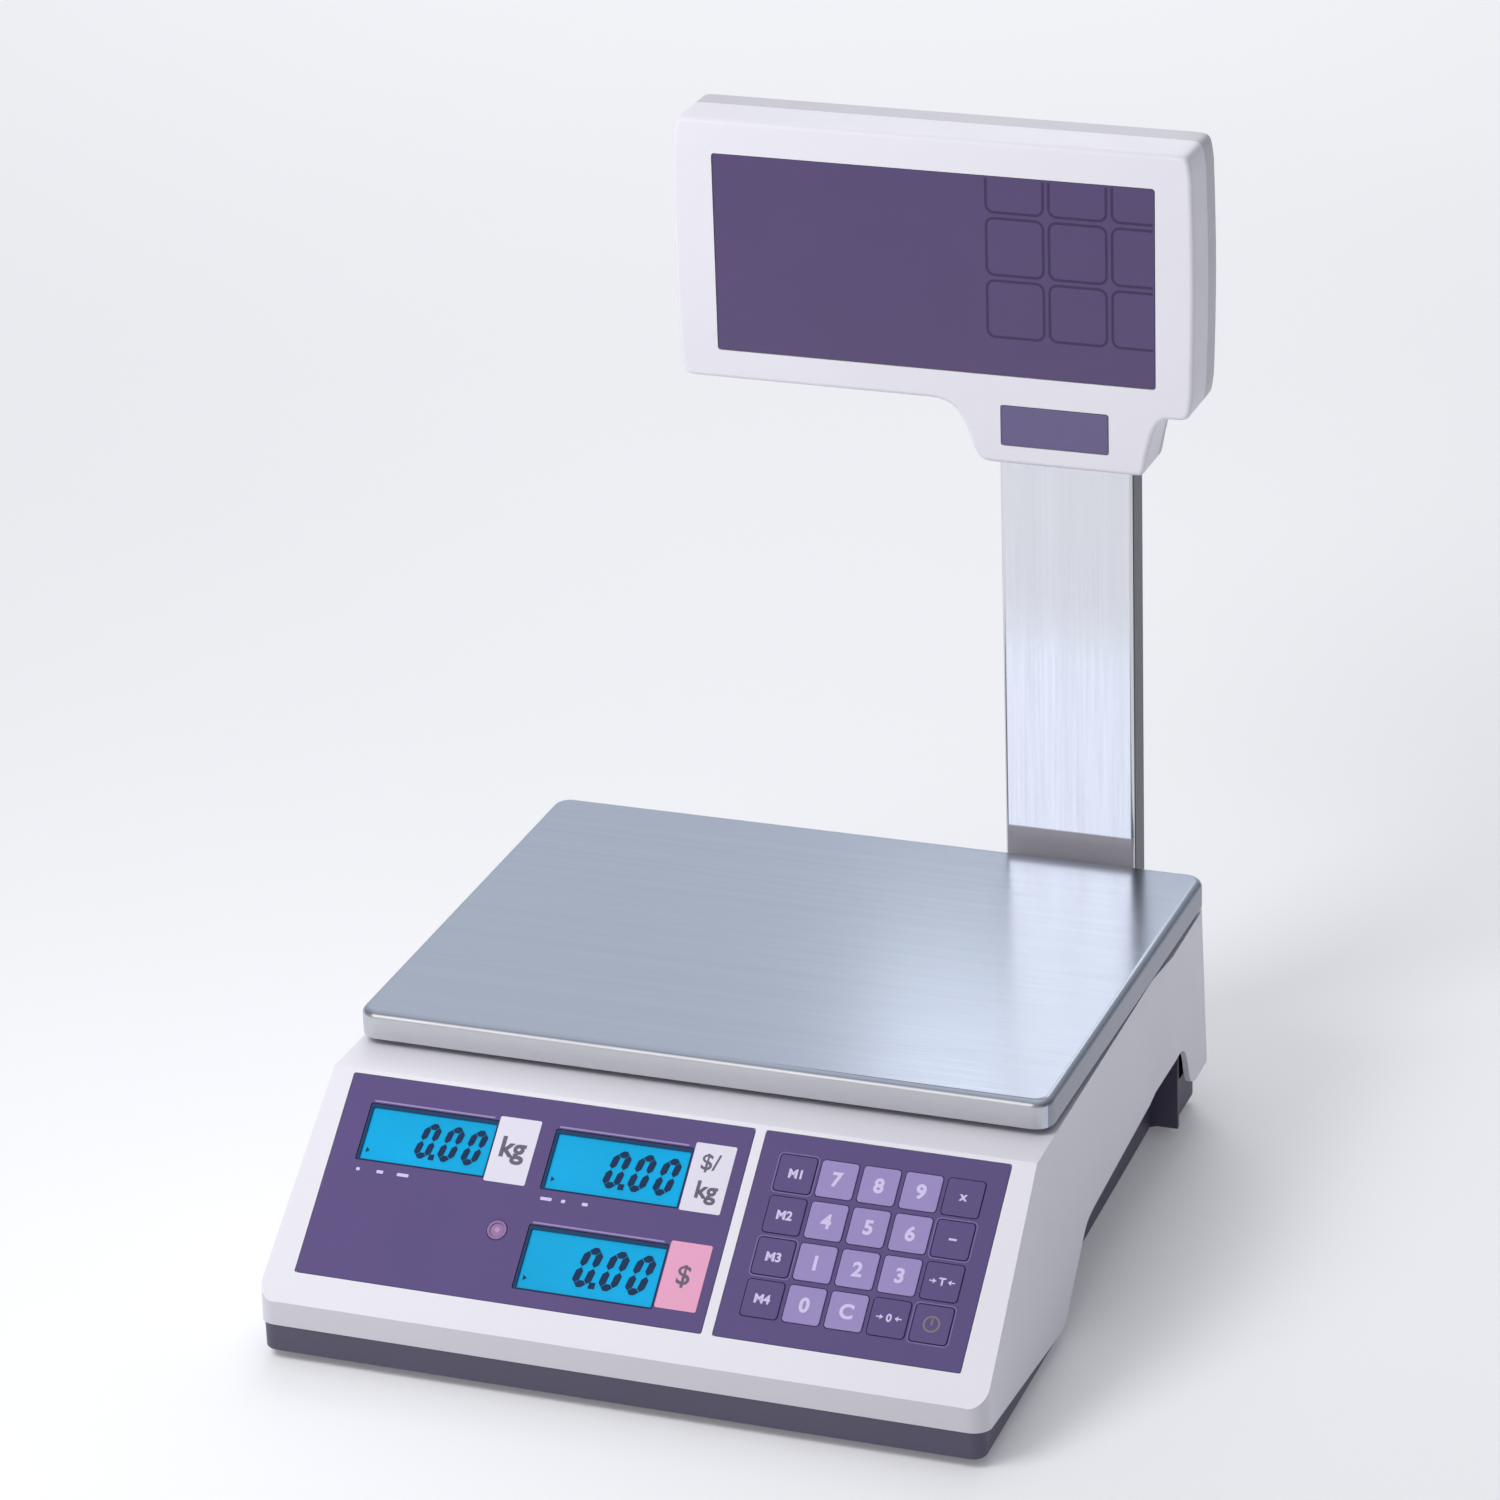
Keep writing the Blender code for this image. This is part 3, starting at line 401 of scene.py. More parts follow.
def bump(tree, value, strength, distance):
    return add_node(tree, "Bump", "Normal", {"Strength": strength, "Distance": distance, "Height": value})


def moulded_plastic(name, color, roughness, grain=1100, depth=0.02, tint=0.03, front=None):
    """Fine spark-eroded grain, a faint tone variation and slightly uneven gloss. It turns into the front
    colour, if one is given, on faces that look to the front: a darker copy that paints shade."""
    mat, tree, shader = new_material(name)
    base = mottled(tree, noise(tree, 14, 4), color, 1 - tint, 1 + tint)
    if front:
        base = mix(tree, ramp(tree, "Normal", "Y", 0.0, -1.0), base, front)
    feed(tree, shader, {
        "Base Color": base,
        "Roughness": spread(tree, noise(tree, 60, 3), roughness - 0.04, roughness + 0.05),
        "Normal": bump(tree, noise(tree, grain, 2), 0.35, depth * MM),
        "Specular IOR Level": 0.45,
    })
    return mat


def printed_film(name, color, roughness=0.34, tint=0.05):
    """Polyester film: a very fine pebble under an even, soft gloss."""
    mat, tree, shader = new_material(name)
    feed(tree, shader, {
        "Base Color": mottled(tree, noise(tree, 30, 3), color, 1 - tint, 1 + tint),
        "Roughness": spread(tree, noise(tree, 300, 2), roughness - 0.03, roughness + 0.04),
        "Normal": bump(tree, noise(tree, 2200, 1), 0.2, 0.006 * MM),
        "Specular IOR Level": 0.4,
    })
    return mat


def brushed_metal(name, color, roughness, along, lines=2600, anisotropic=0.0, foot=None):
    """Metal with fine parallel grinding lines along one axis. A painted reflection band, if given, is the two
    heights between which it turns, downwards, into a matt grey that paints the dark reflection of the
    platter's rear skirt."""
    mat, tree, shader = new_material(name)
    stretch = tuple(0.012 if axis == along else 1.0 for axis in range(3))
    grain = noise(tree, lines, 2, stretch, 0.6)
    base = mottled(tree, noise(tree, lines / 12, 3, stretch, 0.6), color, 0.95, 1.05)
    metallic = 1.0
    # Painted reflection: below the band the metal turns into a matt grey standing for the platter skirt's
    # dark reflection.
    if foot:
        metallic = ramp(tree, "Object", "Z", *foot)
        base = mix(tree, metallic, (0.37, 0.355, 0.395), base)
    feed(tree, shader, {
        "Base Color": base,
        "Roughness": spread(tree, grain, roughness - 0.04, roughness + 0.05),
        "Normal": bump(tree, grain, 0.25, 0.004 * MM),
        "Metallic": metallic,
        "Anisotropic": anisotropic,
    })
    return mat


def cast_metal(name, color, roughness=0.5):
    """Cast or plated metal with a coarse, uneven skin."""
    mat, tree, shader = new_material(name)
    feed(tree, shader, {
        "Base Color": mottled(tree, noise(tree, 90, 5), color, 0.9, 1.08),
        "Roughness": spread(tree, noise(tree, 400, 3), roughness - 0.08, roughness + 0.1),
        "Normal": bump(tree, noise(tree, 700, 4), 0.5, 0.05 * MM),
        "Metallic": 1.0,
    })
    return mat


def rubber(name, color):
    mat, tree, shader = new_material(name)
    feed(tree, shader, {
        "Base Color": mottled(tree, noise(tree, 60, 4), color, 0.8, 1.25),
        "Roughness": spread(tree, noise(tree, 500, 3), 0.68, 0.85),
        "Normal": bump(tree, noise(tree, 900, 3), 0.4, 0.03 * MM),
    })
    return mat


def backlit_lcd(name, deep, bright):
    """A backlit display: brightest in patches where the lamps sit behind it."""
    mat, tree, shader = new_material(name)
    glow = mix(tree, noise(tree, 22, 1), deep, bright)
    feed(tree, shader, {
        "Base Color": glow,
        "Emission Color": glow,
        "Emission Strength": 0.36,
        "Specular IOR Level": 0.25,
        "Roughness": spread(tree, noise(tree, 800, 2), 0.10, 0.16),
    })
    return mat


def solder_mask(name):
    """A green circuit board with a faint grid of tracks."""
    mat, tree, shader = new_material(name)
    tracks = add_node(tree, "TexBrick", "Color", {
        "Vector": add_node(tree, "TexCoord", "Object"),
        "Scale": 180,
        "Color1": (0.02, 0.15, 0.06, 1),
        "Color2": (0.03, 0.19, 0.08, 1),
        "Mortar": (0.05, 0.28, 0.12, 1),
        "Mortar Size": 0.012,
    })
    feed(tree, shader, {"Base Color": tracks, "Roughness": spread(tree, noise(tree, 300, 2), 0.3, 0.42)})
    return mat


WHITE = moulded_plastic("white_housing", (0.815, 0.800, 0.860), 0.40)
COVER = moulded_plastic("head_cover", (0.595, 0.575, 0.630), 0.42)
# Painted shade: the lip's front-facing faces are a darker copy of the same white plastic.
LIP_PAINTED_SHADE = moulded_plastic("housing_lip_painted_shade", (0.815, 0.800, 0.860), 0.40, front=(0.60, 0.585, 0.635))
DARK = moulded_plastic("dark_base", (0.080, 0.071, 0.116), 0.48, grain=900, depth=0.035, tint=0.08)
FILM = printed_film("overlay_film", (0.106, 0.074, 0.212))
KEY_LIGHT = printed_film("key_light", (0.335, 0.262, 0.535), 0.36)
KEY_DARK = printed_film("key_dark", (0.110, 0.078, 0.220), 0.36)
PRINT_LIGHT = printed_film("light_print", (0.66, 0.58, 0.84), 0.4)
PRINT_FRAME = printed_film("frame_print", (0.215, 0.160, 0.385), 0.4)
# Painted highlight: a light line standing for the lit edge above each display's opening.
PAINTED_EDGE_HIGHLIGHT = printed_film("edge_painted_highlight", (0.34, 0.27, 0.52), 0.4)
PRINT_GREY = printed_film("grey_print", (0.145, 0.125, 0.180), 0.4)
UNIT_WHITE = printed_film("unit_white", (0.76, 0.73, 0.84), 0.4, 0.02)
UNIT_PINK = printed_film("unit_pink", (0.82, 0.38, 0.56), 0.4, 0.03)
POWER_PRINT = printed_film("power_print", (0.24, 0.19, 0.19), 0.4)
LCD = backlit_lcd("lcd_glass", (0.0, 0.255, 0.46), (0.0, 0.335, 0.66))
LCD_SURROUND_AND_SHADE = printed_film("lcd_surround_and_painted_shade", (0.012, 0.045, 0.115), 0.4)
LCD_INK = printed_film("lcd_segments", (0.001, 0.025, 0.085), 0.3)
VIAL = printed_film("level_vial", (0.34, 0.19, 0.38), 0.12)
VIAL_BUBBLE = printed_film("level_bubble", (0.44, 0.30, 0.50), 0.2)
VIAL_RING = printed_film("level_ring", (0.27, 0.17, 0.36), 0.3)
WINDOW = printed_film("tinted_window", (0.092, 0.060, 0.162), 0.16)
WINDOW_PRINT = printed_film("window_print", (0.045, 0.026, 0.088), 0.18)
BADGE = moulded_plastic("badge_film", (0.140, 0.110, 0.240), 0.32, grain=600, depth=0.008, tint=0.05)
PLATTER = brushed_metal("brushed_stainless", (0.52, 0.565, 0.66), 0.20, along=X)
# Painted shade and light: a darker copy of the platter's stainless for its X-facing skirts and a lighter one
# for its front skirt.
PLATTER_SIDE_SHADE = brushed_metal("platter_side_painted_shade", (0.30, 0.315, 0.36), 0.34, along=Y)
PLATTER_FRONT_LIT = brushed_metal("platter_front_painted_light", (0.57, 0.575, 0.60), 0.32, along=X)
POLISHED = brushed_metal("polished_stainless", (0.76, 0.755, 0.765), 0.20, along=Z, lines=1500)
# Painted reflection: the pole's front turns matt grey at its foot, standing for the dark reflection of the
# platter's rear skirt.
POLE_FRONT_PAINTED_BAND = brushed_metal("pole_front_painted_reflection", (0.725, 0.735, 0.775), 0.20, along=Z, lines=1500,
                           foot=(120.4 * MM, 121.2 * MM))
# Painted shade: a dark copy of the pole's stainless for its X-facing sides.
POLE_SIDE_SHADE = brushed_metal("pole_side_painted_shade", (0.075, 0.08, 0.10), 0.34, along=Z, lines=1500)
CAST = cast_metal("cast_aluminium", (0.58, 0.58, 0.60))
MACHINED = brushed_metal("machined_aluminium", (0.66, 0.66, 0.69), 0.3, along=Y, anisotropic=0.35)
ZINC = cast_metal("zinc_steel", (0.52, 0.52, 0.54), 0.36)
RUBBER = rubber("black_rubber", (0.022, 0.022, 0.024))
BOARD = solder_mask("circuit_board")
BATTERY = moulded_plastic("battery_case", (0.055, 0.055, 0.065), 0.5)
CORE = cast_metal("transformer_core", (0.16, 0.14, 0.13), 0.6)
INLET = moulded_plastic("inlet_plastic", (0.022, 0.022, 0.024), 0.45)
DARK_GLASS = printed_film("dark_display", (0.015, 0.015, 0.022), 0.15)

NODE_MATERIALS = {
    "battery_door": DARK,
    "display_board": BOARD, "key_board": BOARD, "main_board": BOARD, "head_board": BOARD,
    "battery": BATTERY, "power_transformer": CORE, "power_inlet": INLET, "load_cell": MACHINED,
    "load_cell_mount": CAST, "pan_support": CAST, "pole_bracket": ZINC, "pole_cable": RUBBER,
    "head_display": DARK_GLASS,
}
CORNERS = ("front_left", "front_right", "rear_left", "rear_right")
NODE_MATERIALS.update({part + corner: RUBBER for part in ("pan_pad_", "foot_") for corner in CORNERS})


def dress_nodes():
    for node, mat in NODE_MATERIALS.items():
        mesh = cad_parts[node].data
        mesh.materials.clear()
        mesh.materials.append(mat)
        for polygon in mesh.polygons:
            polygon.material_index = 0


# -------------------- the panel frame


def panel_frame():
    up = Vector((0, math.cos(SLOPE), math.sin(SLOPE)))
    out = Vector((0, -math.sin(SLOPE), math.cos(SLOPE)))
    matrix = Matrix((X_AXIS, up, out)).transposed().to_4x4()
    matrix.translation = Vector((0, *OVERLAY_TOP))
    return matrix


PANEL = panel_frame()


def on_panel(obj, at=(0, 0)):
    """Moves an object made in the panel frame to x, v on the panel, in its mesh."""
    obj.data.transform(PANEL @ Matrix.Translation((at[0], -at[1], 0)))
    return obj


def panel_plate(name, x_range, v_range, z_range, radius=0.001, mat=None):
    outline = rounded_rect((x_range[0], -v_range[1]), (x_range[1], -v_range[0]), radius)
    return prism(name, outline, z_range[0], z_range[1], Z_AXIS, mat)


def grown(x_range, v_range, by):
    return (x_range[0] - by, x_range[1] + by), (v_range[0] - by, v_range[1] + by)


def lcd_x(node):
    low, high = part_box(node)
    return low.x, high.x


# -------------------- housing and tray


def side_half_width(y, z):
    """The housing's half width: drafted sides that ramp out again near the rear."""
    ramp = min(1.0, max(0.0, (y - STEP_Y[0]) / (STEP_Y[1] - STEP_Y[0])))
    return HALF_WIDTH - DRAFT_Z * (z - LIP_TOP_Z) - DRAFT_Y * (y - TAPER_FROM_Y) + STEP_OUT * ramp


def tapered_body(name, profile, inset, mat=None):
    """A solid with the given y-z profile whose two sides follow the housing's sides."""
    solid = prism(name, profile, -1, 1, X_AXIS, mat)
    bm = bmesh.new()
    bm.from_mesh(solid.data)
    for y in STEP_Y:
        everything = bm.verts[:] + bm.edges[:] + bm.faces[:]
        bmesh.ops.bisect_plane(bm, geom=everything, plane_co=(0, y, 0), plane_no=(0, 1, 0))
    for vertex in bm.verts:
        vertex.co.x = math.copysign(side_half_width(vertex.co.y, vertex.co.z) - inset, vertex.co.x)
    bm.to_mesh(solid.data)
    bm.free()
    return solid


def lower_edge():
    """The housing's lower edge in y-z: a lip, a hand grip arch and a rear leg."""
    points = [(FRONT_Y - PAST, LIP_LOW_Z), (FRONT_Y, LIP_LOW_Z), (-0.1120, 0.0096), (-0.0840, 0.0068)]
    curve_to(points, (-0.0770, 0.0058), (-0.0730, 0.0068), (-0.0690, 0.0125), 10)
    points.append((-0.0440, 0.0325))
    curve_to(points, (-0.0395, 0.0362), (-0.0350, 0.0372), (-0.0250, 0.0376), 10)
    points += [(0.0600, 0.0415), (0.0950, 0.0466)]
    curve_to(points, (0.1060, 0.0480), (0.1110, 0.0440), (0.1130, 0.0350), 12)
    curve_to(points, (0.1142, 0.0285), (0.1165, 0.0232), (0.1250, 0.0226), 10)
    points.append((REAR_Y + PAST, 0.0226))
    return points


def slope_point(v, depth=0.0):
    y = OVERLAY_TOP[0] - v * math.cos(SLOPE) + depth * math.sin(SLOPE)
    z = OVERLAY_TOP[1] - v * math.sin(SLOPE) - depth * math.cos(SLOPE)
    return y, z


def slope_at_z(z, depth=0.0):
    y0, z0 = slope_point(0, depth)
    return y0 + (z - z0) / math.tan(SLOPE), z


def slope_at_y(y, depth=0.0):
    y0, z0 = slope_point(0, depth)
    return y, z0 + (y - y0) * math.tan(SLOPE)


def make_housing():
    outer = [(FRONT_Y, 0.0), slope_at_y(FRONT_Y), slope_at_z(DECK_Z), (REAR_Y, DECK_Z), (REAR_Y, 0.0)]
    inner_front = FRONT_Y + WALL
    inner = [(inner_front, -0.01), slope_at_y(inner_front, PANEL_WALL), slope_at_z(DECK_Z - WALL, PANEL_WALL),
             (REAR_Y - WALL, DECK_Z - WALL), (REAR_Y - WALL, -0.01)]
    housing = tapered_body("housing_shell", outer, 0.0, WHITE)

    def upright_corner(a, b, angle):
        at_end = max(a.y, b.y) < FRONT_Y + 1e-4 or min(a.y, b.y) > REAR_Y - 1e-4
        return at_end and a.x * b.x > 0.01 and abs(a.z - b.z) > 0.01

    bevel_edges(housing, CORNER_R, 10, upright_corner)
    bend = math.radians(30)
    lip_top_z = slope_at_y(FRONT_Y)[1] + 0.002

    def lip_edge(a, b, angle):
        return angle > bend and 0.02 < min(a.z, b.z) < max(a.z, b.z) < lip_top_z

    def deck_edge(a, b, angle):
        return angle > bend and min(a.z, b.z) > 0.02 and max(a.z, b.z) > lip_top_z

    bevel_edges(housing, LIP_R, 4, lip_edge)
    bevel_edges(housing, EDGE_R, 6, deck_edge)
    cavity = tapered_body("cavity", inner, WALL)
    below_edge = lower_edge() + [(REAR_Y + PAST, -0.02), (FRONT_Y - PAST, -0.02)]
    below = prism("below", below_edge, -FAR, FAR, X_AXIS)
    cut(housing, cavity)
    cut(housing, below)
    overlay_v = (0.0, OVERLAY_LENGTH)
    pocket = (-(OVERLAY_T + GAP), PAST)
    through = (-0.02, 0.005)
    openings = [
        on_panel(panel_plate("pocket_display", *grown(DISPLAY_X, overlay_v, GAP), pocket)),
        on_panel(panel_plate("pocket_keypad", *grown(KEYPAD_X, overlay_v, GAP), pocket)),
        on_panel(panel_plate("key_opening", (KEYPAD_X[0] + 3 * MM, KEYPAD_X[1] - 3 * MM),
                             (4 * MM, OVERLAY_LENGTH - 4 * MM), through)),
        on_panel(prism("level_opening", disc((0, 0), LEVEL_R + 0.6 * MM), *through), LEVEL_AT),
        prism("boss_opening", rounded_rect((-0.018, -0.036), (0.018, -0.002), 0.004), 0.08, 0.11),
        prism("cable_opening", disc(CABLE_EXIT, 5 * MM), 0.14, 0.16, Y_AXIS),
    ]
    inlet_low, inlet_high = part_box("power_inlet")
    openings.append(box("inlet_opening", (inlet_low.x + 3.7 * MM, 0.14, inlet_low.z + 2.2 * MM),
                        (inlet_high.x - 3.7 * MM, 0.16, inlet_high.z - 2.2 * MM)))
    for node, v_range in LCD_V.items():
        openings.append(on_panel(panel_plate("lcd_opening", *grown(lcd_x(node), v_range, 0.6 * MM), through)))
    cut(housing, *openings)
    # Painted shade: the lip's front faces take the darker copy of the white plastic.
    housing.data.materials.append(LIP_PAINTED_SHADE)
    for polygon in housing.data.polygons:
        center = polygon.center
        at_front = center.y < FRONT_Y + CORNER_R and center.z < lip_top_z - 0.003
        if at_front and abs(polygon.normal.z) < 0.3:
            polygon.material_index = len(housing.data.materials) - 1
    return stands_for(even_shading(housing), "base", "white_housing", "upper_housing")


def tray_outline(inset):
    corners = (      # x, y and which way an inset moves y
        (TRAY_FRONT_X[0], FRONT_Y + 0.0005, 1),
        (TRAY_FRONT_X[1], GRIP_Y[0] - 0.0060, -1),
        (GRIP_X[0], GRIP_Y[0], -1),
        (GRIP_X[1], GRIP_Y[1], 1),
        (TRAY_REAR_X, GRIP_Y[1] + 0.0065, 1),
        (TRAY_REAR_X, REAR_Y - 0.0010, -1),
    )
    right = [(x - inset, y + inset * way) for x, y, way in corners]
    return right + [(-x, y) for x, y in reversed(right)]


def grip_pocket(side, low_z):
    """The walls and roof that close a hand grip off from the inside, for the left (-1) or right (1) side."""
    slope = (GRIP_X[1] - GRIP_X[0]) / (GRIP_Y[1] - GRIP_Y[0])

    def tray_x(y):
        return GRIP_X[0] + slope * (y - GRIP_Y[0]) - 0.2 * MM

    def housing_x(y):
        return side_half_width(y, GRIP_TOP_Z) - WALL - 2 * GAP

    def placed(points):
        return [(side * x, y) for x, y in points]

    y0, y1 = GRIP_Y[0] - GRIP_WALL, GRIP_Y[1] + GRIP_WALL
    block = [(housing_x(y), y) for y in (y0, *STEP_Y, y1)] + [(tray_x(y) - GRIP_WALL, y) for y in (y1, y0)]
    hollow = [(FAR, y) for y in GRIP_Y] + [(tray_x(y), y) for y in reversed(GRIP_Y)]
    pocket = prism("pocket", placed(block), low_z, GRIP_TOP_Z)
    return cut(pocket, prism("pocket_hollow", placed(hollow), 0.0, GRIP_TOP_Z - GRIP_WALL))


def make_tray():
    tray_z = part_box("base_tray")[0].z
    tray = prism("tray_shell", tray_outline(0.0), tray_z, 0.0235, mat=DARK)

    def upright_corner(a, b, angle):
        return abs(a.z - b.z) > 0.01 and not FRONT_Y + 0.005 < a.y < REAR_Y - 0.005

    bevel_edges(tray, 0.006, 10, upright_corner)
    bevel_edges(tray, 0.0012, 3, on_face(Z, tray_z))
    above_edge = [(y, z - GAP) for y, z in lower_edge()] + [(REAR_Y + PAST, 0.08), (FRONT_Y - PAST, 0.08)]
    above = prism("above", above_edge, -FAR, FAR, X_AXIS)
    rim = prism("rim_cavity", tray_outline(TRAY_WALL), tray_z + TRAY_FLOOR, 0.08)
    cut(tray, above, rim)
    join(tray, grip_pocket(-1, tray_z + 0.0015), grip_pocket(1, tray_z + 0.0015))
    door_low, door_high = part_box("battery_door")
    holes = [box("battery_opening", (door_low.x - GAP, door_low.y - GAP, 0),
                 (door_high.x + GAP, door_high.y + GAP, 0.02))]
    for corner in CORNERS:
        holes.append(prism("foot_hole", disc(middle("foot_" + corner), 3.3 * MM), 0.0, 0.03))
    cut(tray, *holes)
    return stands_for(even_shading(tray), "base", "dark_base", "base_tray")


# -------------------- operator panel


def make_film(name, x_range, edge, segments, holes, node):
    film = panel_plate(name, x_range, (0, OVERLAY_LENGTH), (-OVERLAY_T, 0), 1.2 * MM, FILM)
    cut(film, *holes)
    bevel_edges(film, edge, segments, on_face(Z, 0.0))
    stands_for(even_shading(on_panel(film)), "base", "overlay_film", node)


def make_films():
    hole_z = (-PAST, PAST)
    holes = []
    for node, v_range in LCD_V.items():
        holes.append(panel_plate("hole", *grown(lcd_x(node), v_range, GAP), hole_z, 0.8 * MM))
    holes.append(prism("level_hole", disc((LEVEL_AT[0], -LEVEL_AT[1]), LEVEL_R + GAP), *hole_z))
    make_film("display_film", DISPLAY_X, 0.35 * MM, 3, holes, "display_panel")
    holes = []
    for x, v, _, _ in key_places():
        key_x, key_v = (x - KEY_W / 2, x + KEY_W / 2), (v - KEY_H / 2, v + KEY_H / 2)
        holes.append(panel_plate("hole", *grown(key_x, key_v, GAP), hole_z, 1.8 * MM))
    make_film("keypad_film", KEYPAD_X, 0.2 * MM, 2, holes, "keypad_panel")


def key_places():
    """(x, v, key, legend) of each key."""
    for row, keys in enumerate(KEY_ROWS):
        for column, (key, legend) in enumerate(keys):
            yield KEY_FIRST[0] + column * KEY_PITCH[0], KEY_FIRST[1] + row * KEY_PITCH[1], key, legend


def lettering(name, text, height, z, depth, mat, bold=0.035):
    """Generic digits or letters as a thin raised mesh, centred on the origin of the panel frame."""
    curve = bpy.data.curves.new(name, "FONT")
    curve.body = text
    curve.size = height
    curve.align_x = "CENTER"
    curve.align_y = "CENTER"
    curve.extrude = depth / 2
    curve.resolution_u = 6
    curve.offset = height * bold
    source = bpy.data.objects.new(name, curve)
    bpy.context.scene.collection.objects.link(source)
    bpy.context.view_layer.update()
    mesh = bpy.data.meshes.new_from_object(source.evaluated_get(bpy.context.evaluated_depsgraph_get()))
    bpy.data.objects.remove(source, do_unlink=True)
    x_values = [vertex.co.x for vertex in mesh.vertices]
    y_values = [vertex.co.y for vertex in mesh.vertices]
    offset = (-(min(x_values) + max(x_values)) / 2, -(min(y_values) + max(y_values)) / 2, z + depth / 2)
    mesh.transform(Matrix.Translation(offset))
    return add_object(name, mesh, mat)


def bar(x0, x1, y0, y1, z, depth, mat):
    return prism("bar", [(x0, y0), (x1, y0), (x1, y1), (x0, y1)], z, z + depth, Z_AXIS, mat)


def arrow(tip, size, z, depth, mat):
    """A small solid arrow whose tip is at (x, y) and which points along the sign of size."""
    x, y = tip
    outline = [(x, y), (x - size, y + abs(size) * 0.75), (x - size, y - abs(size) * 0.75)]
    return prism("arrow", outline if size > 0 else outline[::-1], z, z + depth, Z_AXIS, mat)


def ring(outer, inner, z, depth, mat):
    """A flat ring between two closed outlines of the same length."""
    bm = bmesh.new()
    rows = []
    for outline, height in ((outer, z), (outer, z + depth), (inner, z + depth), (inner, z)):
        rows.append([bm.verts.new((x, y, height)) for x, y in outline])
    count = len(outer)
    for a, b in zip(rows, rows[1:] + rows[:1]):
        for i in range(count):
            j = (i + 1) % count
            bm.faces.new((a[i], a[j], b[j], b[i]))
    return from_bmesh("ring", bm, mat)


def key_legend(key, legend):
    z, depth = KEY_PROUD + 0.01 * MM, 0.05 * MM
    if key == "power":
        parts = [ring(disc((0, 0), 3.6 * MM), disc((0, 0), 2.8 * MM), z, depth, POWER_PRINT)]
        parts.append(bar(-0.4 * MM, 0.4 * MM, -0.6 * MM, 2.4 * MM, z, depth, POWER_PRINT))
    elif key == "minus":
        parts = [bar(-1.7 * MM, 1.7 * MM, -0.45 * MM, 0.45 * MM, z, depth, PRINT_LIGHT)]
    elif key in ARROW_KEYS:
        parts = [lettering("letter", legend, 4.6 * MM, z, depth, PRINT_LIGHT)]
        for side in (-1, 1):
            parts.append(arrow((-side * 2.4 * MM, 0), side * 1.5 * MM, z, depth, PRINT_LIGHT))
            ends = sorted((-side * 3.7 * MM, -side * 5.4 * MM))
            parts.append(bar(ends[0], ends[1], -0.25 * MM, 0.25 * MM, z, depth, PRINT_LIGHT))
    elif key in DARK_KEYS:
        parts = [lettering("letter", legend, 5.4 * MM, z, depth, PRINT_LIGHT)]
    else:
        parts = [lettering("letter", legend, 8.6 * MM, z, depth, PRINT_LIGHT)]
    return merge("legend_" + key, parts)


def make_keys():
    for x, v, key, legend in key_places():
        dark = key in DARK_KEYS
        outline = rounded_rect((-KEY_W / 2, -KEY_H / 2), (KEY_W / 2, KEY_H / 2), 1.5 * MM, 6)
        mat = KEY_DARK if dark else KEY_LIGHT
        pad = prism("pad_" + key, outline, KEY_PROUD - KEY_T, KEY_PROUD, mat=mat)
        bevel_edges(pad, 0.32 * MM, 3, on_face(Z, KEY_PROUD))
        node = "key_" + key
        stands_for(even_shading(on_panel(pad, (x, v))), node, "key_dark" if dark else "key_light", node)
        stands_for(on_panel(key_legend(key, legend), (x, v)), node, "key_light")
        if key in FRAMED_KEYS:
            half_w, half_h, line = KEY_W / 2 + 0.55 * MM, KEY_H / 2 + 0.55 * MM, 0.45 * MM
            outer = rounded_rect((-half_w - line, -half_h - line), (half_w + line, half_h + line), 2.2 * MM)
            inner = rounded_rect((-half_w, -half_h), (half_w, half_h), 1.8 * MM)
            frame_line = ring(outer, inner, PRINT_Z[0], PRINT_Z[1] - PRINT_Z[0], PRINT_FRAME)
            frame_line.name = "frame_" + key
            stands_for(on_panel(frame_line, (x, v)), "base", "overlay_film")


# -------------------- displays


def zero_outlines(width, height, thick):
    """The six segments of a zero whose lower left corner is at the origin."""
    half, gap = thick / 2, thick * 0.05
    mid = height / 2

    def flat(y):
        return [(half + gap, y), (thick + gap, y + half), (width - thick - gap, y + half),
                (width - half - gap, y), (width - thick - gap, y - half), (thick + gap, y - half)]

    def upright(x, low, high):
        return [(x, low + gap), (x + half, low + half + gap), (x + half, high - half - gap), (x, high - gap),
                (x - half, high - half - gap), (x - half, low + half + gap)]

    return (
        flat(height - half), upright(width - half, mid, height - half), upright(width - half, half, mid),
        flat(half), upright(half, half, mid), upright(half, mid, height - half),
    )


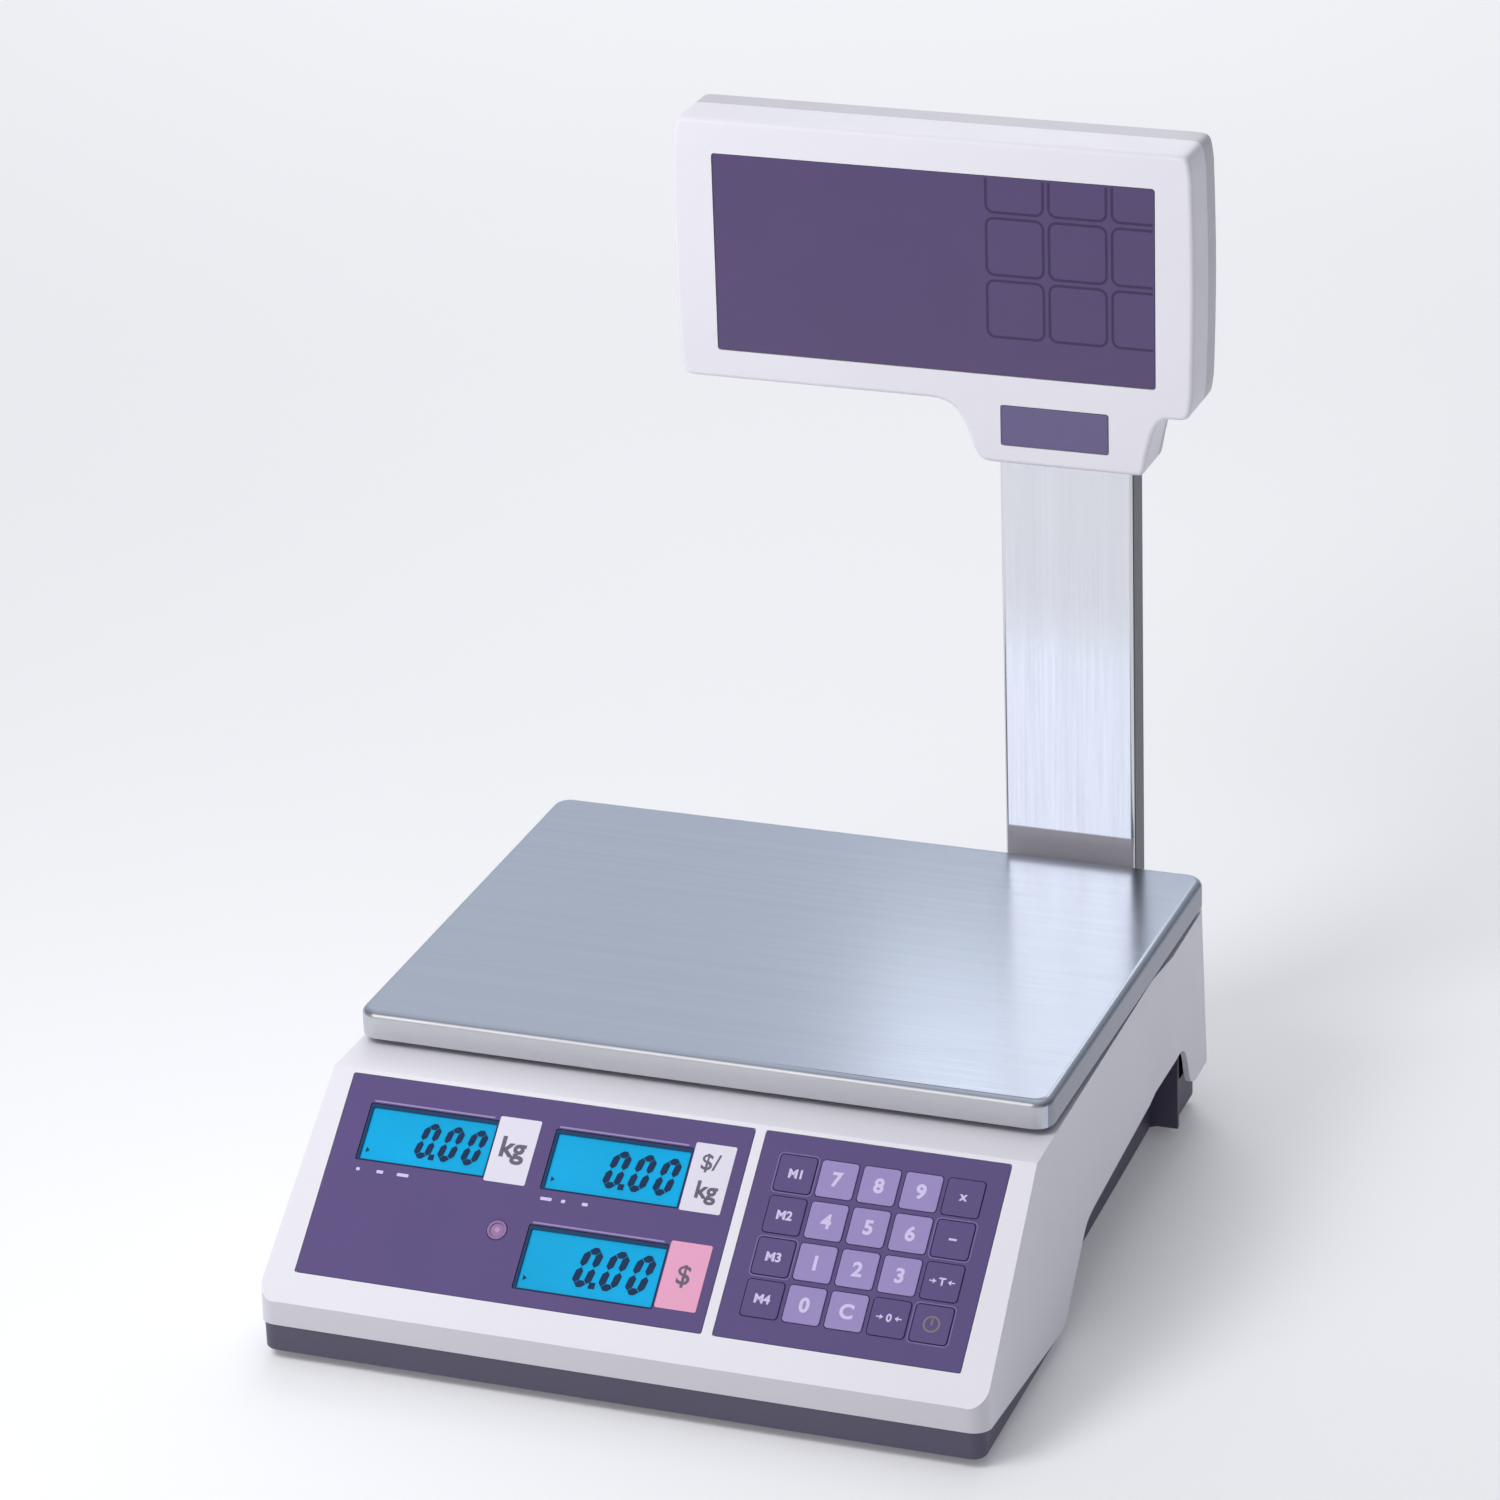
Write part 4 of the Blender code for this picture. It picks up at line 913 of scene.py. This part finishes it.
def make_lcd(node, v_range):
    """A display: a dark surround, partly a real border and partly painted shade of the recess, with the lit
    glass at the bottom of its recess.
    """
    x_range = lcd_x(node)
    low_z, high_z = -8.0 * MM, -0.3 * MM
    glass_x = (x_range[0] + LCD_EDGE[0], x_range[1] - LCD_EDGE[1])
    glass_v = (v_range[0] + LCD_EDGE[2], v_range[1] - LCD_EDGE[3])
    # Painted shade: the surround's wide strips above and at the left stand for the recess's inner shadow.
    surround = panel_plate("surround_" + node[4:], x_range, v_range, (low_z, high_z), 0.6 * MM, LCD_SURROUND_AND_SHADE)
    cut(surround, panel_plate("recess", glass_x, glass_v, (LCD_FACE - 0.3 * MM, PAST), 0.3 * MM))
    surround.data.materials.clear()
    surround.data.materials.append(LCD_SURROUND_AND_SHADE)
    on_panel(even_shading(surround))
    glass = on_panel(panel_plate("glass_" + node[4:], *grown(glass_x, glass_v, -0.02 * MM),
                                 (LCD_FACE - 0.28 * MM, LCD_FACE), 0.3 * MM, LCD))
    # Painted highlight: a thin light line above the display standing for the lit edge of the film's opening.
    edge = panel_plate("painted_highlight_" + node[4:], (x_range[0] + 1 * MM, x_range[1] - 2 * MM),
                       (v_range[0] - 1.5 * MM, v_range[0] - 0.8 * MM), PRINT_Z, 0.3 * MM, PAINTED_EDGE_HIGHLIGHT)
    stands_for(surround, "base", "lcd_glass", node)
    stands_for(glass, "base", "lcd_glass")
    stands_for(on_panel(edge), "base", "overlay_film")


def make_readout(node, v_range):
    """Slanted seven-segment digits 0.00 at the right of a display, with a small marker at the lower left."""
    x0, x1 = lcd_x(node)
    height = (v_range[1] - v_range[0]) * 0.64
    width, thick, slant, pitch = height * 0.47, height * 0.175, 0.20, height * 0.645
    base_y = -v_range[1] + (v_range[1] - v_range[0]) * 0.17
    start = x1 - 3 * pitch - height * 0.17
    z, depth = LCD_FACE + 0.02 * MM, 0.06 * MM
    parts = []
    for index in range(3):
        for segment in zero_outlines(width, height, thick):
            outline = [(start + index * pitch + x + y * slant, base_y + y) for x, y in segment]
            parts.append(prism("segment", outline, z, z + depth, mat=LCD_INK))
    dot_x = start + width + (pitch - width) * 0.42
    dot_w, dot_h = thick * 0.45, thick * 0.9
    parts.append(bar(dot_x - dot_w, dot_x + dot_w, base_y, base_y + dot_h, z, depth, LCD_INK))
    parts.append(arrow((x0 + 4.6 * MM, base_y + 0.6 * MM), 1.7 * MM, z, depth, LCD_INK))
    stands_for(on_panel(merge("readout_" + node[4:], parts)), "base", "lcd_glass")


def make_unit_plates():
    # name, x and v range, film, and each text with its height, boldness and place
    plates = (
        ("unit_weight", (-75.3, -56.9), (10.0, 39.2), UNIT_WHITE, (("kg", 12.5, 0.03, (0.0, 0.0)),)),
        ("unit_price", (11.2, 29.0), (9.3, 39.6), UNIT_WHITE,
         (("$/", 10.0, 0.012, (-0.6, 6.6)), ("kg", 10.5, 0.03, (0.8, -6.4)))),
        ("unit_total", (12.0, 29.9), (53.2, 82.6), UNIT_PINK, (("$", 12.0, 0.012, (0.0, 0.0)),)),
    )
    for name, x_range, v_range, mat, texts in plates:
        x_range = tuple(value * MM for value in x_range)
        v_range = tuple(value * MM for value in v_range)
        plate = panel_plate(name, x_range, v_range, (0.01 * MM, 0.10 * MM), 0.8 * MM, mat)
        parts = []
        for text, size, bold, (dx, dy) in texts:
            letter = lettering("letter", text, size * MM, 0.11 * MM, 0.04 * MM, PRINT_GREY, bold)
            place = (sum(x_range) / 2 + dx * MM, -sum(v_range) / 2 + dy * MM, 0)
            letter.data.transform(Matrix.Translation(place))
            parts.append(letter)
        stands_for(on_panel(plate), "base", "overlay_film")
        stands_for(on_panel(merge(name + "_text", parts)), "base", "overlay_film")


def make_indicator_marks():
    """Small plain marks under the displays, one for each annunciator."""
    rows = ((-131.5, 42.2, (1.6, 3.0, 5.2)), (-48.6, 43.4, (5.0, 1.8, 2.6)))
    parts = []
    for x, v, widths in rows:
        for index, width in enumerate(widths):
            left = x + 9.2 * index
            low, high = (left * MM, -(v + 0.7) * MM), ((left + width) * MM, -(v - 0.7) * MM)
            parts.append(prism("mark", rounded_rect(low, high, 0.4 * MM, 3), *PRINT_Z, mat=PRINT_LIGHT))
    stands_for(on_panel(merge("indicator_marks", parts)), "base", "overlay_film")


def make_bubble_level():
    parts = [ring(disc((0, 0), LEVEL_R), disc((0, 0), LEVEL_R * 0.74), -1.5 * MM, 1.75 * MM, VIAL_RING)]
    domes = (    # name, segments, radius, flattening, centre and material
        ("dome", 40, LEVEL_R * 0.735, 0.16, (0, 0, -0.35 * MM), VIAL),
        ("bubble", 24, 1.1 * MM, 0.12, (0.2 * MM, 0.1 * MM, 0.10 * MM), VIAL_BUBBLE),
    )
    for name, segments, radius, flat, center, mat in domes:
        bm = bmesh.new()
        bmesh.ops.create_uvsphere(bm, u_segments=segments, v_segments=segments // 2, radius=radius)
        bmesh.ops.scale(bm, verts=bm.verts, vec=(1, 1, flat))
        bmesh.ops.translate(bm, verts=bm.verts, vec=center)
        parts.append(from_bmesh(name, bm, mat))
    stands_for(on_panel(merge("level_vial", parts), LEVEL_AT), "base", "level_vial", "bubble_level")


# -------------------- platter


def make_platter():
    low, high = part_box("platter")
    outline = rounded_rect(low.xy, high.xy, PAN_CORNER_R, 10)
    plate = prism("platter_sheet", outline, low.z + PAN_CLEARANCE, high.z, mat=PLATTER)
    bevel_edges(plate, PAN_ROLL, 8, on_face(Z, high.z))
    sheet = Vector((PAN_SHEET, PAN_SHEET))
    inner = rounded_rect(low.xy + sheet, high.xy - sheet, PAN_CORNER_R - PAN_SHEET, 10)
    hollow = prism("hollow", inner, low.z - PAST, high.z - PAN_SHEET)
    bevel_edges(hollow, PAN_ROLL - PAN_SHEET, 5, on_face(Z, high.z - PAN_SHEET))
    cut(plate, hollow)
    # Painted shade on the X-facing skirts, painted light on the front skirt.
    paint_light_by_facing(plate, PLATTER, PLATTER_SIDE_SHADE, PLATTER_FRONT_LIT)
    return stands_for(even_shading(plate), "platter", "brushed_stainless", "platter")


# -------------------- pole and head


def make_pole():
    low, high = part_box("pole")
    tube = prism("pole_tube", rounded_rect(low.xy, high.xy, 2.0 * MM, 8), low.z, high.z, mat=POLISHED)
    wall = Vector((POLE_WALL, POLE_WALL))
    cutters = [
        prism("hollow", rounded_rect(low.xy + wall, high.xy - wall, 1.0 * MM, 6), 0.0, 0.5),
        prism("cable_entry", disc(CABLE_EXIT, 5 * MM), low.y - 0.005, low.y + 0.006, Y_AXIS),
    ]
    for node in POLE_SCREWS:
        cutters.append(prism("screw_hole", disc(middle(node).xz, 2.4 * MM), 0.13, 0.19, Y_AXIS))
    cut(tube, *cutters)
    # Painted shade on the X-facing sides, painted reflection at the foot of the front.
    paint_light_by_facing(tube, POLISHED, POLE_SIDE_SHADE, POLE_FRONT_PAINTED_BAND)
    return stands_for(even_shading(tube), "base", "polished_stainless", "pole")


def make_pole_screws():
    """Pan-head screws with a cross recess, seen on the back of the pole."""
    for node in POLE_SCREWS:
        low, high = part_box(node)
        x, z = (low.x + high.x) / 2, (low.z + high.z) / 2
        head_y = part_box("pole")[1].y + GAP
        head = prism("cap_" + node, disc((x, z), (high.x - low.x) / 2), head_y, high.y, Y_AXIS, ZINC)
        bevel_edges(head, 1.2 * MM, 5, on_face(Y, high.y))
        join(head, prism("shank", disc((x, z), 2.0 * MM, 24), low.y, head_y + 0.5 * MM, Y_AXIS))
        arms = []
        for half_w, half_h in ((0.45 * MM, 2.1 * MM), (2.1 * MM, 0.45 * MM)):
            low_corner = (x - half_w, high.y - 1.3 * MM, z - half_h)
            arms.append(box("arm", low_corner, (x + half_w, high.y + PAST, z + half_h)))
        cut(head, *arms)
        stands_for(even_shading(head), "base", "zinc_steel", node)


def neck_outline(inset, low):
    bottom = NECK_Z + inset
    points = [(0.028, low)]
    curve_to(points, (0.040, low), (0.0430 + inset, low - 0.006), (0.0465 + inset, 0.3050))
    curve_to(points, (0.0500 + inset, bottom), (0.0520 + inset, bottom), (0.0580 + inset, bottom))
    points.append((0.1200 - inset, bottom))
    curve_to(points, (0.1240 - inset, bottom), (0.1245 - inset, bottom), (0.1255 - inset, 0.3010 + inset), 6)
    curve_to(points, (0.1290 - inset, low - 0.004), (0.1310 - inset, low), (0.1365 - inset, low))
    return points


def head_outline(inset, with_neck=True):
    """The head's outline, counterclockwise from the lower right corner, with slightly bowed sides."""
    low, high = HEAD_Z[0] + inset, HEAD_Z[1] - inset
    mid, half = (low + high) / 2, HEAD_HALF_W - inset
    corner, waist = 0.011, 0.0025
    points = []
    for way, first, last in ((1, low, high), (-1, high, low)):
        edge = HEAD_X + way * half
        bow = edge - way * waist
        up = way * corner
        points.append((edge - up, first))
        curve_to(points, (bow, first), (bow, first), (edge - way * waist / 2, first + up))
        curve_to(points, (edge, mid - up), (edge, mid + up), (edge - way * waist / 2, last - up))
        curve_to(points, (bow, last), (bow, last), (edge - up, last))
    if with_neck:
        points += neck_outline(inset, low)
    else:
        points.append(points[0])
    return points[1:]


def front_outline(node, by, radius):
    """A node's outline as seen from the front, grown and with rounded corners."""
    low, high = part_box(node)
    return rounded_rect((low.x - by, low.z - by), (high.x + by, high.z + by), radius)


def front_plate(name, node, radius, edge, mat):
    low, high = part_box(node)
    plate = prism(name, front_outline(node, 0.0, radius), low.y, high.y, Y_AXIS, mat)
    bevel_edges(plate, edge, 3, on_face(Y, low.y))
    return even_shading(plate)


def pole_clearance():
    low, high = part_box("pole")
    gap = Vector((GAP, GAP))
    return box("pole_clearance", (*(low.xy - gap), 0.28), (*(high.xy + gap), high.z + PAST))


def make_head_front():
    shell = prism("head_bezel", head_outline(0.0), HEAD_FRONT_Y, HEAD_SEAM_Y - HEAD_SEAM, Y_AXIS, WHITE)
    bevel_edges(shell, 3.0 * MM, 6, on_face(Y, HEAD_FRONT_Y))
    cavity = prism("cavity", head_outline(HEAD_WALL), HEAD_FRONT_Y + 4.6 * MM, HEAD_BACK_Y, Y_AXIS)
    cutters = [cavity]
    for node, by, radius, depth in (
        ("head_window", GAP, 1.5 * MM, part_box("head_window")[1].y + 0.4 * MM - HEAD_FRONT_Y),
        ("head_window", -4 * MM, 1.0 * MM, PAST),
        ("head_badge", GAP, 1.2 * MM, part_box("head_badge")[1].y + 0.4 * MM - HEAD_FRONT_Y),
    ):
        outline = front_outline(node, by, radius)
        cutters.append(prism("pocket", outline, HEAD_FRONT_Y - PAST, HEAD_FRONT_Y + depth, Y_AXIS))
    cut(shell, *cutters, pole_clearance())
    return stands_for(even_shading(shell), "base", "white_housing", "head_front")


def make_head_back():
    shell = prism("head_cover", head_outline(0.0, False), HEAD_SEAM_Y, HEAD_BACK_Y, Y_AXIS, COVER)
    bevel_edges(shell, 6.0 * MM, 8, on_face(Y, HEAD_BACK_Y, 0.8))
    cavity_y = (HEAD_SEAM_Y - PAST, HEAD_BACK_Y - HEAD_WALL)
    cut(shell, prism("cavity", head_outline(HEAD_WALL, False), *cavity_y, Y_AXIS))
    collar_y = (HEAD_SEAM_Y, HEAD_SEAM_Y + 5.0 * MM)
    collar = prism("collar", neck_outline(0.0, HEAD_Z[0] + 2.2 * MM), *collar_y, Y_AXIS)
    bevel_edges(collar, 1.5 * MM, 4, on_face(Y, collar_y[1], 0.8))
    join(shell, collar)
    slots = []
    for z in (405 * MM, 411 * MM, 417 * MM):
        outline = rounded_rect((HEAD_X - 40 * MM, z), (HEAD_X + 40 * MM, z + 2 * MM), 0.9 * MM)
        slots.append(prism("slot", outline, HEAD_BACK_Y - PAST, HEAD_BACK_Y + PAST, Y_AXIS))
    cut(shell, *slots)
    return stands_for(even_shading(shell), "base", "white_housing", "head_back")


def make_window():
    low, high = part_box("head_window")
    pane = front_plate("window_pane", "head_window", 1.2 * MM, 0.3 * MM, WINDOW)
    stands_for(pane, "base", "tinted_window", "head_window")
    cell, gap, line = 26.5 * MM, 1.4 * MM, 1.2 * MM
    left, top = high.x - 75.0 * MM, high.z + 10.0 * MM
    lines = []
    for row in range(3):
        for column in range(3):
            x = left + column * (cell + gap)
            z = top - (row + 1) * cell - row * gap
            outer = rounded_rect((x, z), (x + cell, z + cell), 4.0 * MM)
            inner = rounded_rect((x + line, z + line), (x + cell - line, z + cell - line), 2.8 * MM)
            square = ring(outer, inner, 0.0, 0.05 * MM, WINDOW_PRINT)
            square.data.transform(Matrix.Rotation(math.pi / 2, 4, "X"))
            square.data.transform(Matrix.Translation((0, low.y - 0.01 * MM, 0)))
            lines.append(square)
    squares = merge("window_squares", lines)
    trim_x, trim_z = high.x - 0.8 * MM, high.z - 0.8 * MM
    for near_x, near_z in ((trim_x, low.z), (low.x, trim_z)):
        cut(squares, box("trim", (near_x, low.y - PAST, near_z), (high.x + FAR, low.y + PAST, high.z + FAR)))
    stands_for(squares, "base", "tinted_window")


def make_badge():
    plate = front_plate("badge_plate", "head_badge", 1.0 * MM, 0.35 * MM, BADGE)
    stands_for(plate, "base", "overlay_film", "head_badge")


# -------------------- stage


def make_floor():
    mat, tree, shader = new_material("floor_paint")
    feed(tree, shader, {
        "Base Color": mix(tree, noise(tree, 3, 2), (0.81, 0.81, 0.82), (0.83, 0.83, 0.84)),
        "Roughness": 0.7,
        "Specular IOR Level": 0.2,
        "Emission Color": (0.92, 0.94, 1, 1),
        "Emission Strength": FLOOR_GLOW,
    })
    bm = bmesh.new()
    bmesh.ops.create_grid(bm, x_segments=1, y_segments=1, size=60)
    floor = from_bmesh("floor", bm, mat)


def add_light(name, place, target, size, power, mirrored):
    data = bpy.data.lights.new(name, "AREA")
    data.shape = "RECTANGLE"
    data.size, data.size_y = size
    data.energy = power
    light = bpy.data.objects.new(name, data)
    light.location = place
    light.rotation_euler = (Vector(target) - Vector(place)).to_track_quat("-Z", "Y").to_euler()
    light.visible_glossy = mirrored
    bpy.context.scene.collection.objects.link(light)


def vector_math(tree, operation, first, second):
    output = "Value" if operation == "DOT_PRODUCT" else "Vector"
    return add_node(tree, "VectorMath", output, {0: first, 1: second}, operation=operation)


def math_node(tree, operation, first, second):
    return add_node(tree, "Math", "Value", {0: first, 1: second}, operation=operation)


def make_sky():
    """A studio surround: a dim room with soft panels, each a lobe of light around one direction."""
    world = bpy.data.worlds.new("studio")
    world.use_nodes = True
    tree = world.node_tree
    coords = add_node(tree, "TexCoord", "Generated")
    total = vector_math(tree, "ADD", ROOM_LIGHT, (0, 0, 0))
    for direction, sharpness, strength, color in SOFT_PANELS:
        facing = vector_math(tree, "DOT_PRODUCT", coords, Vector(direction).normalized())
        front = math_node(tree, "MAXIMUM", facing, 0.0)
        lobe = math_node(tree, "MULTIPLY", math_node(tree, "POWER", front, sharpness), strength)
        tinted = vector_math(tree, "MULTIPLY", lobe, color)
        total = vector_math(tree, "ADD", total, tinted)
    feed(tree, tree.nodes["Background"], {"Color": total})
    bpy.context.scene.world = world


def make_lights():
    for name, settings in SOFTBOXES.items():
        add_light(name, *settings)
    make_sky()


def make_camera():
    data = bpy.data.cameras.new("camera")
    data.lens = CAMERA_LENS
    data.sensor_width = 36
    camera = bpy.data.objects.new("camera", data)
    back = Vector((math.sin(CAMERA_AZIMUTH) * math.cos(CAMERA_ELEVATION),
                   -math.cos(CAMERA_AZIMUTH) * math.cos(CAMERA_ELEVATION), math.sin(CAMERA_ELEVATION)))
    camera.location = CAMERA_TARGET + back * CAMERA_DISTANCE
    turn = (-back).to_track_quat("-Z", "Y").to_matrix() @ Matrix.Rotation(CAMERA_ROLL, 3, "Z")
    camera.rotation_euler = turn.to_euler()
    bpy.context.scene.collection.objects.link(camera)
    bpy.context.scene.camera = camera


bpy.context.scene.view_settings.view_transform = "Standard"
make_camera()
make_lights()
make_floor()
dress_nodes()
make_housing()
make_tray()
make_films()
make_keys()
for lcd, rows in LCD_V.items():
    make_lcd(lcd, rows)
    make_readout(lcd, rows)
make_unit_plates()
make_indicator_marks()
make_bubble_level()
make_platter()
make_pole()
make_pole_screws()
make_head_front()
make_head_back()
make_window()
make_badge()
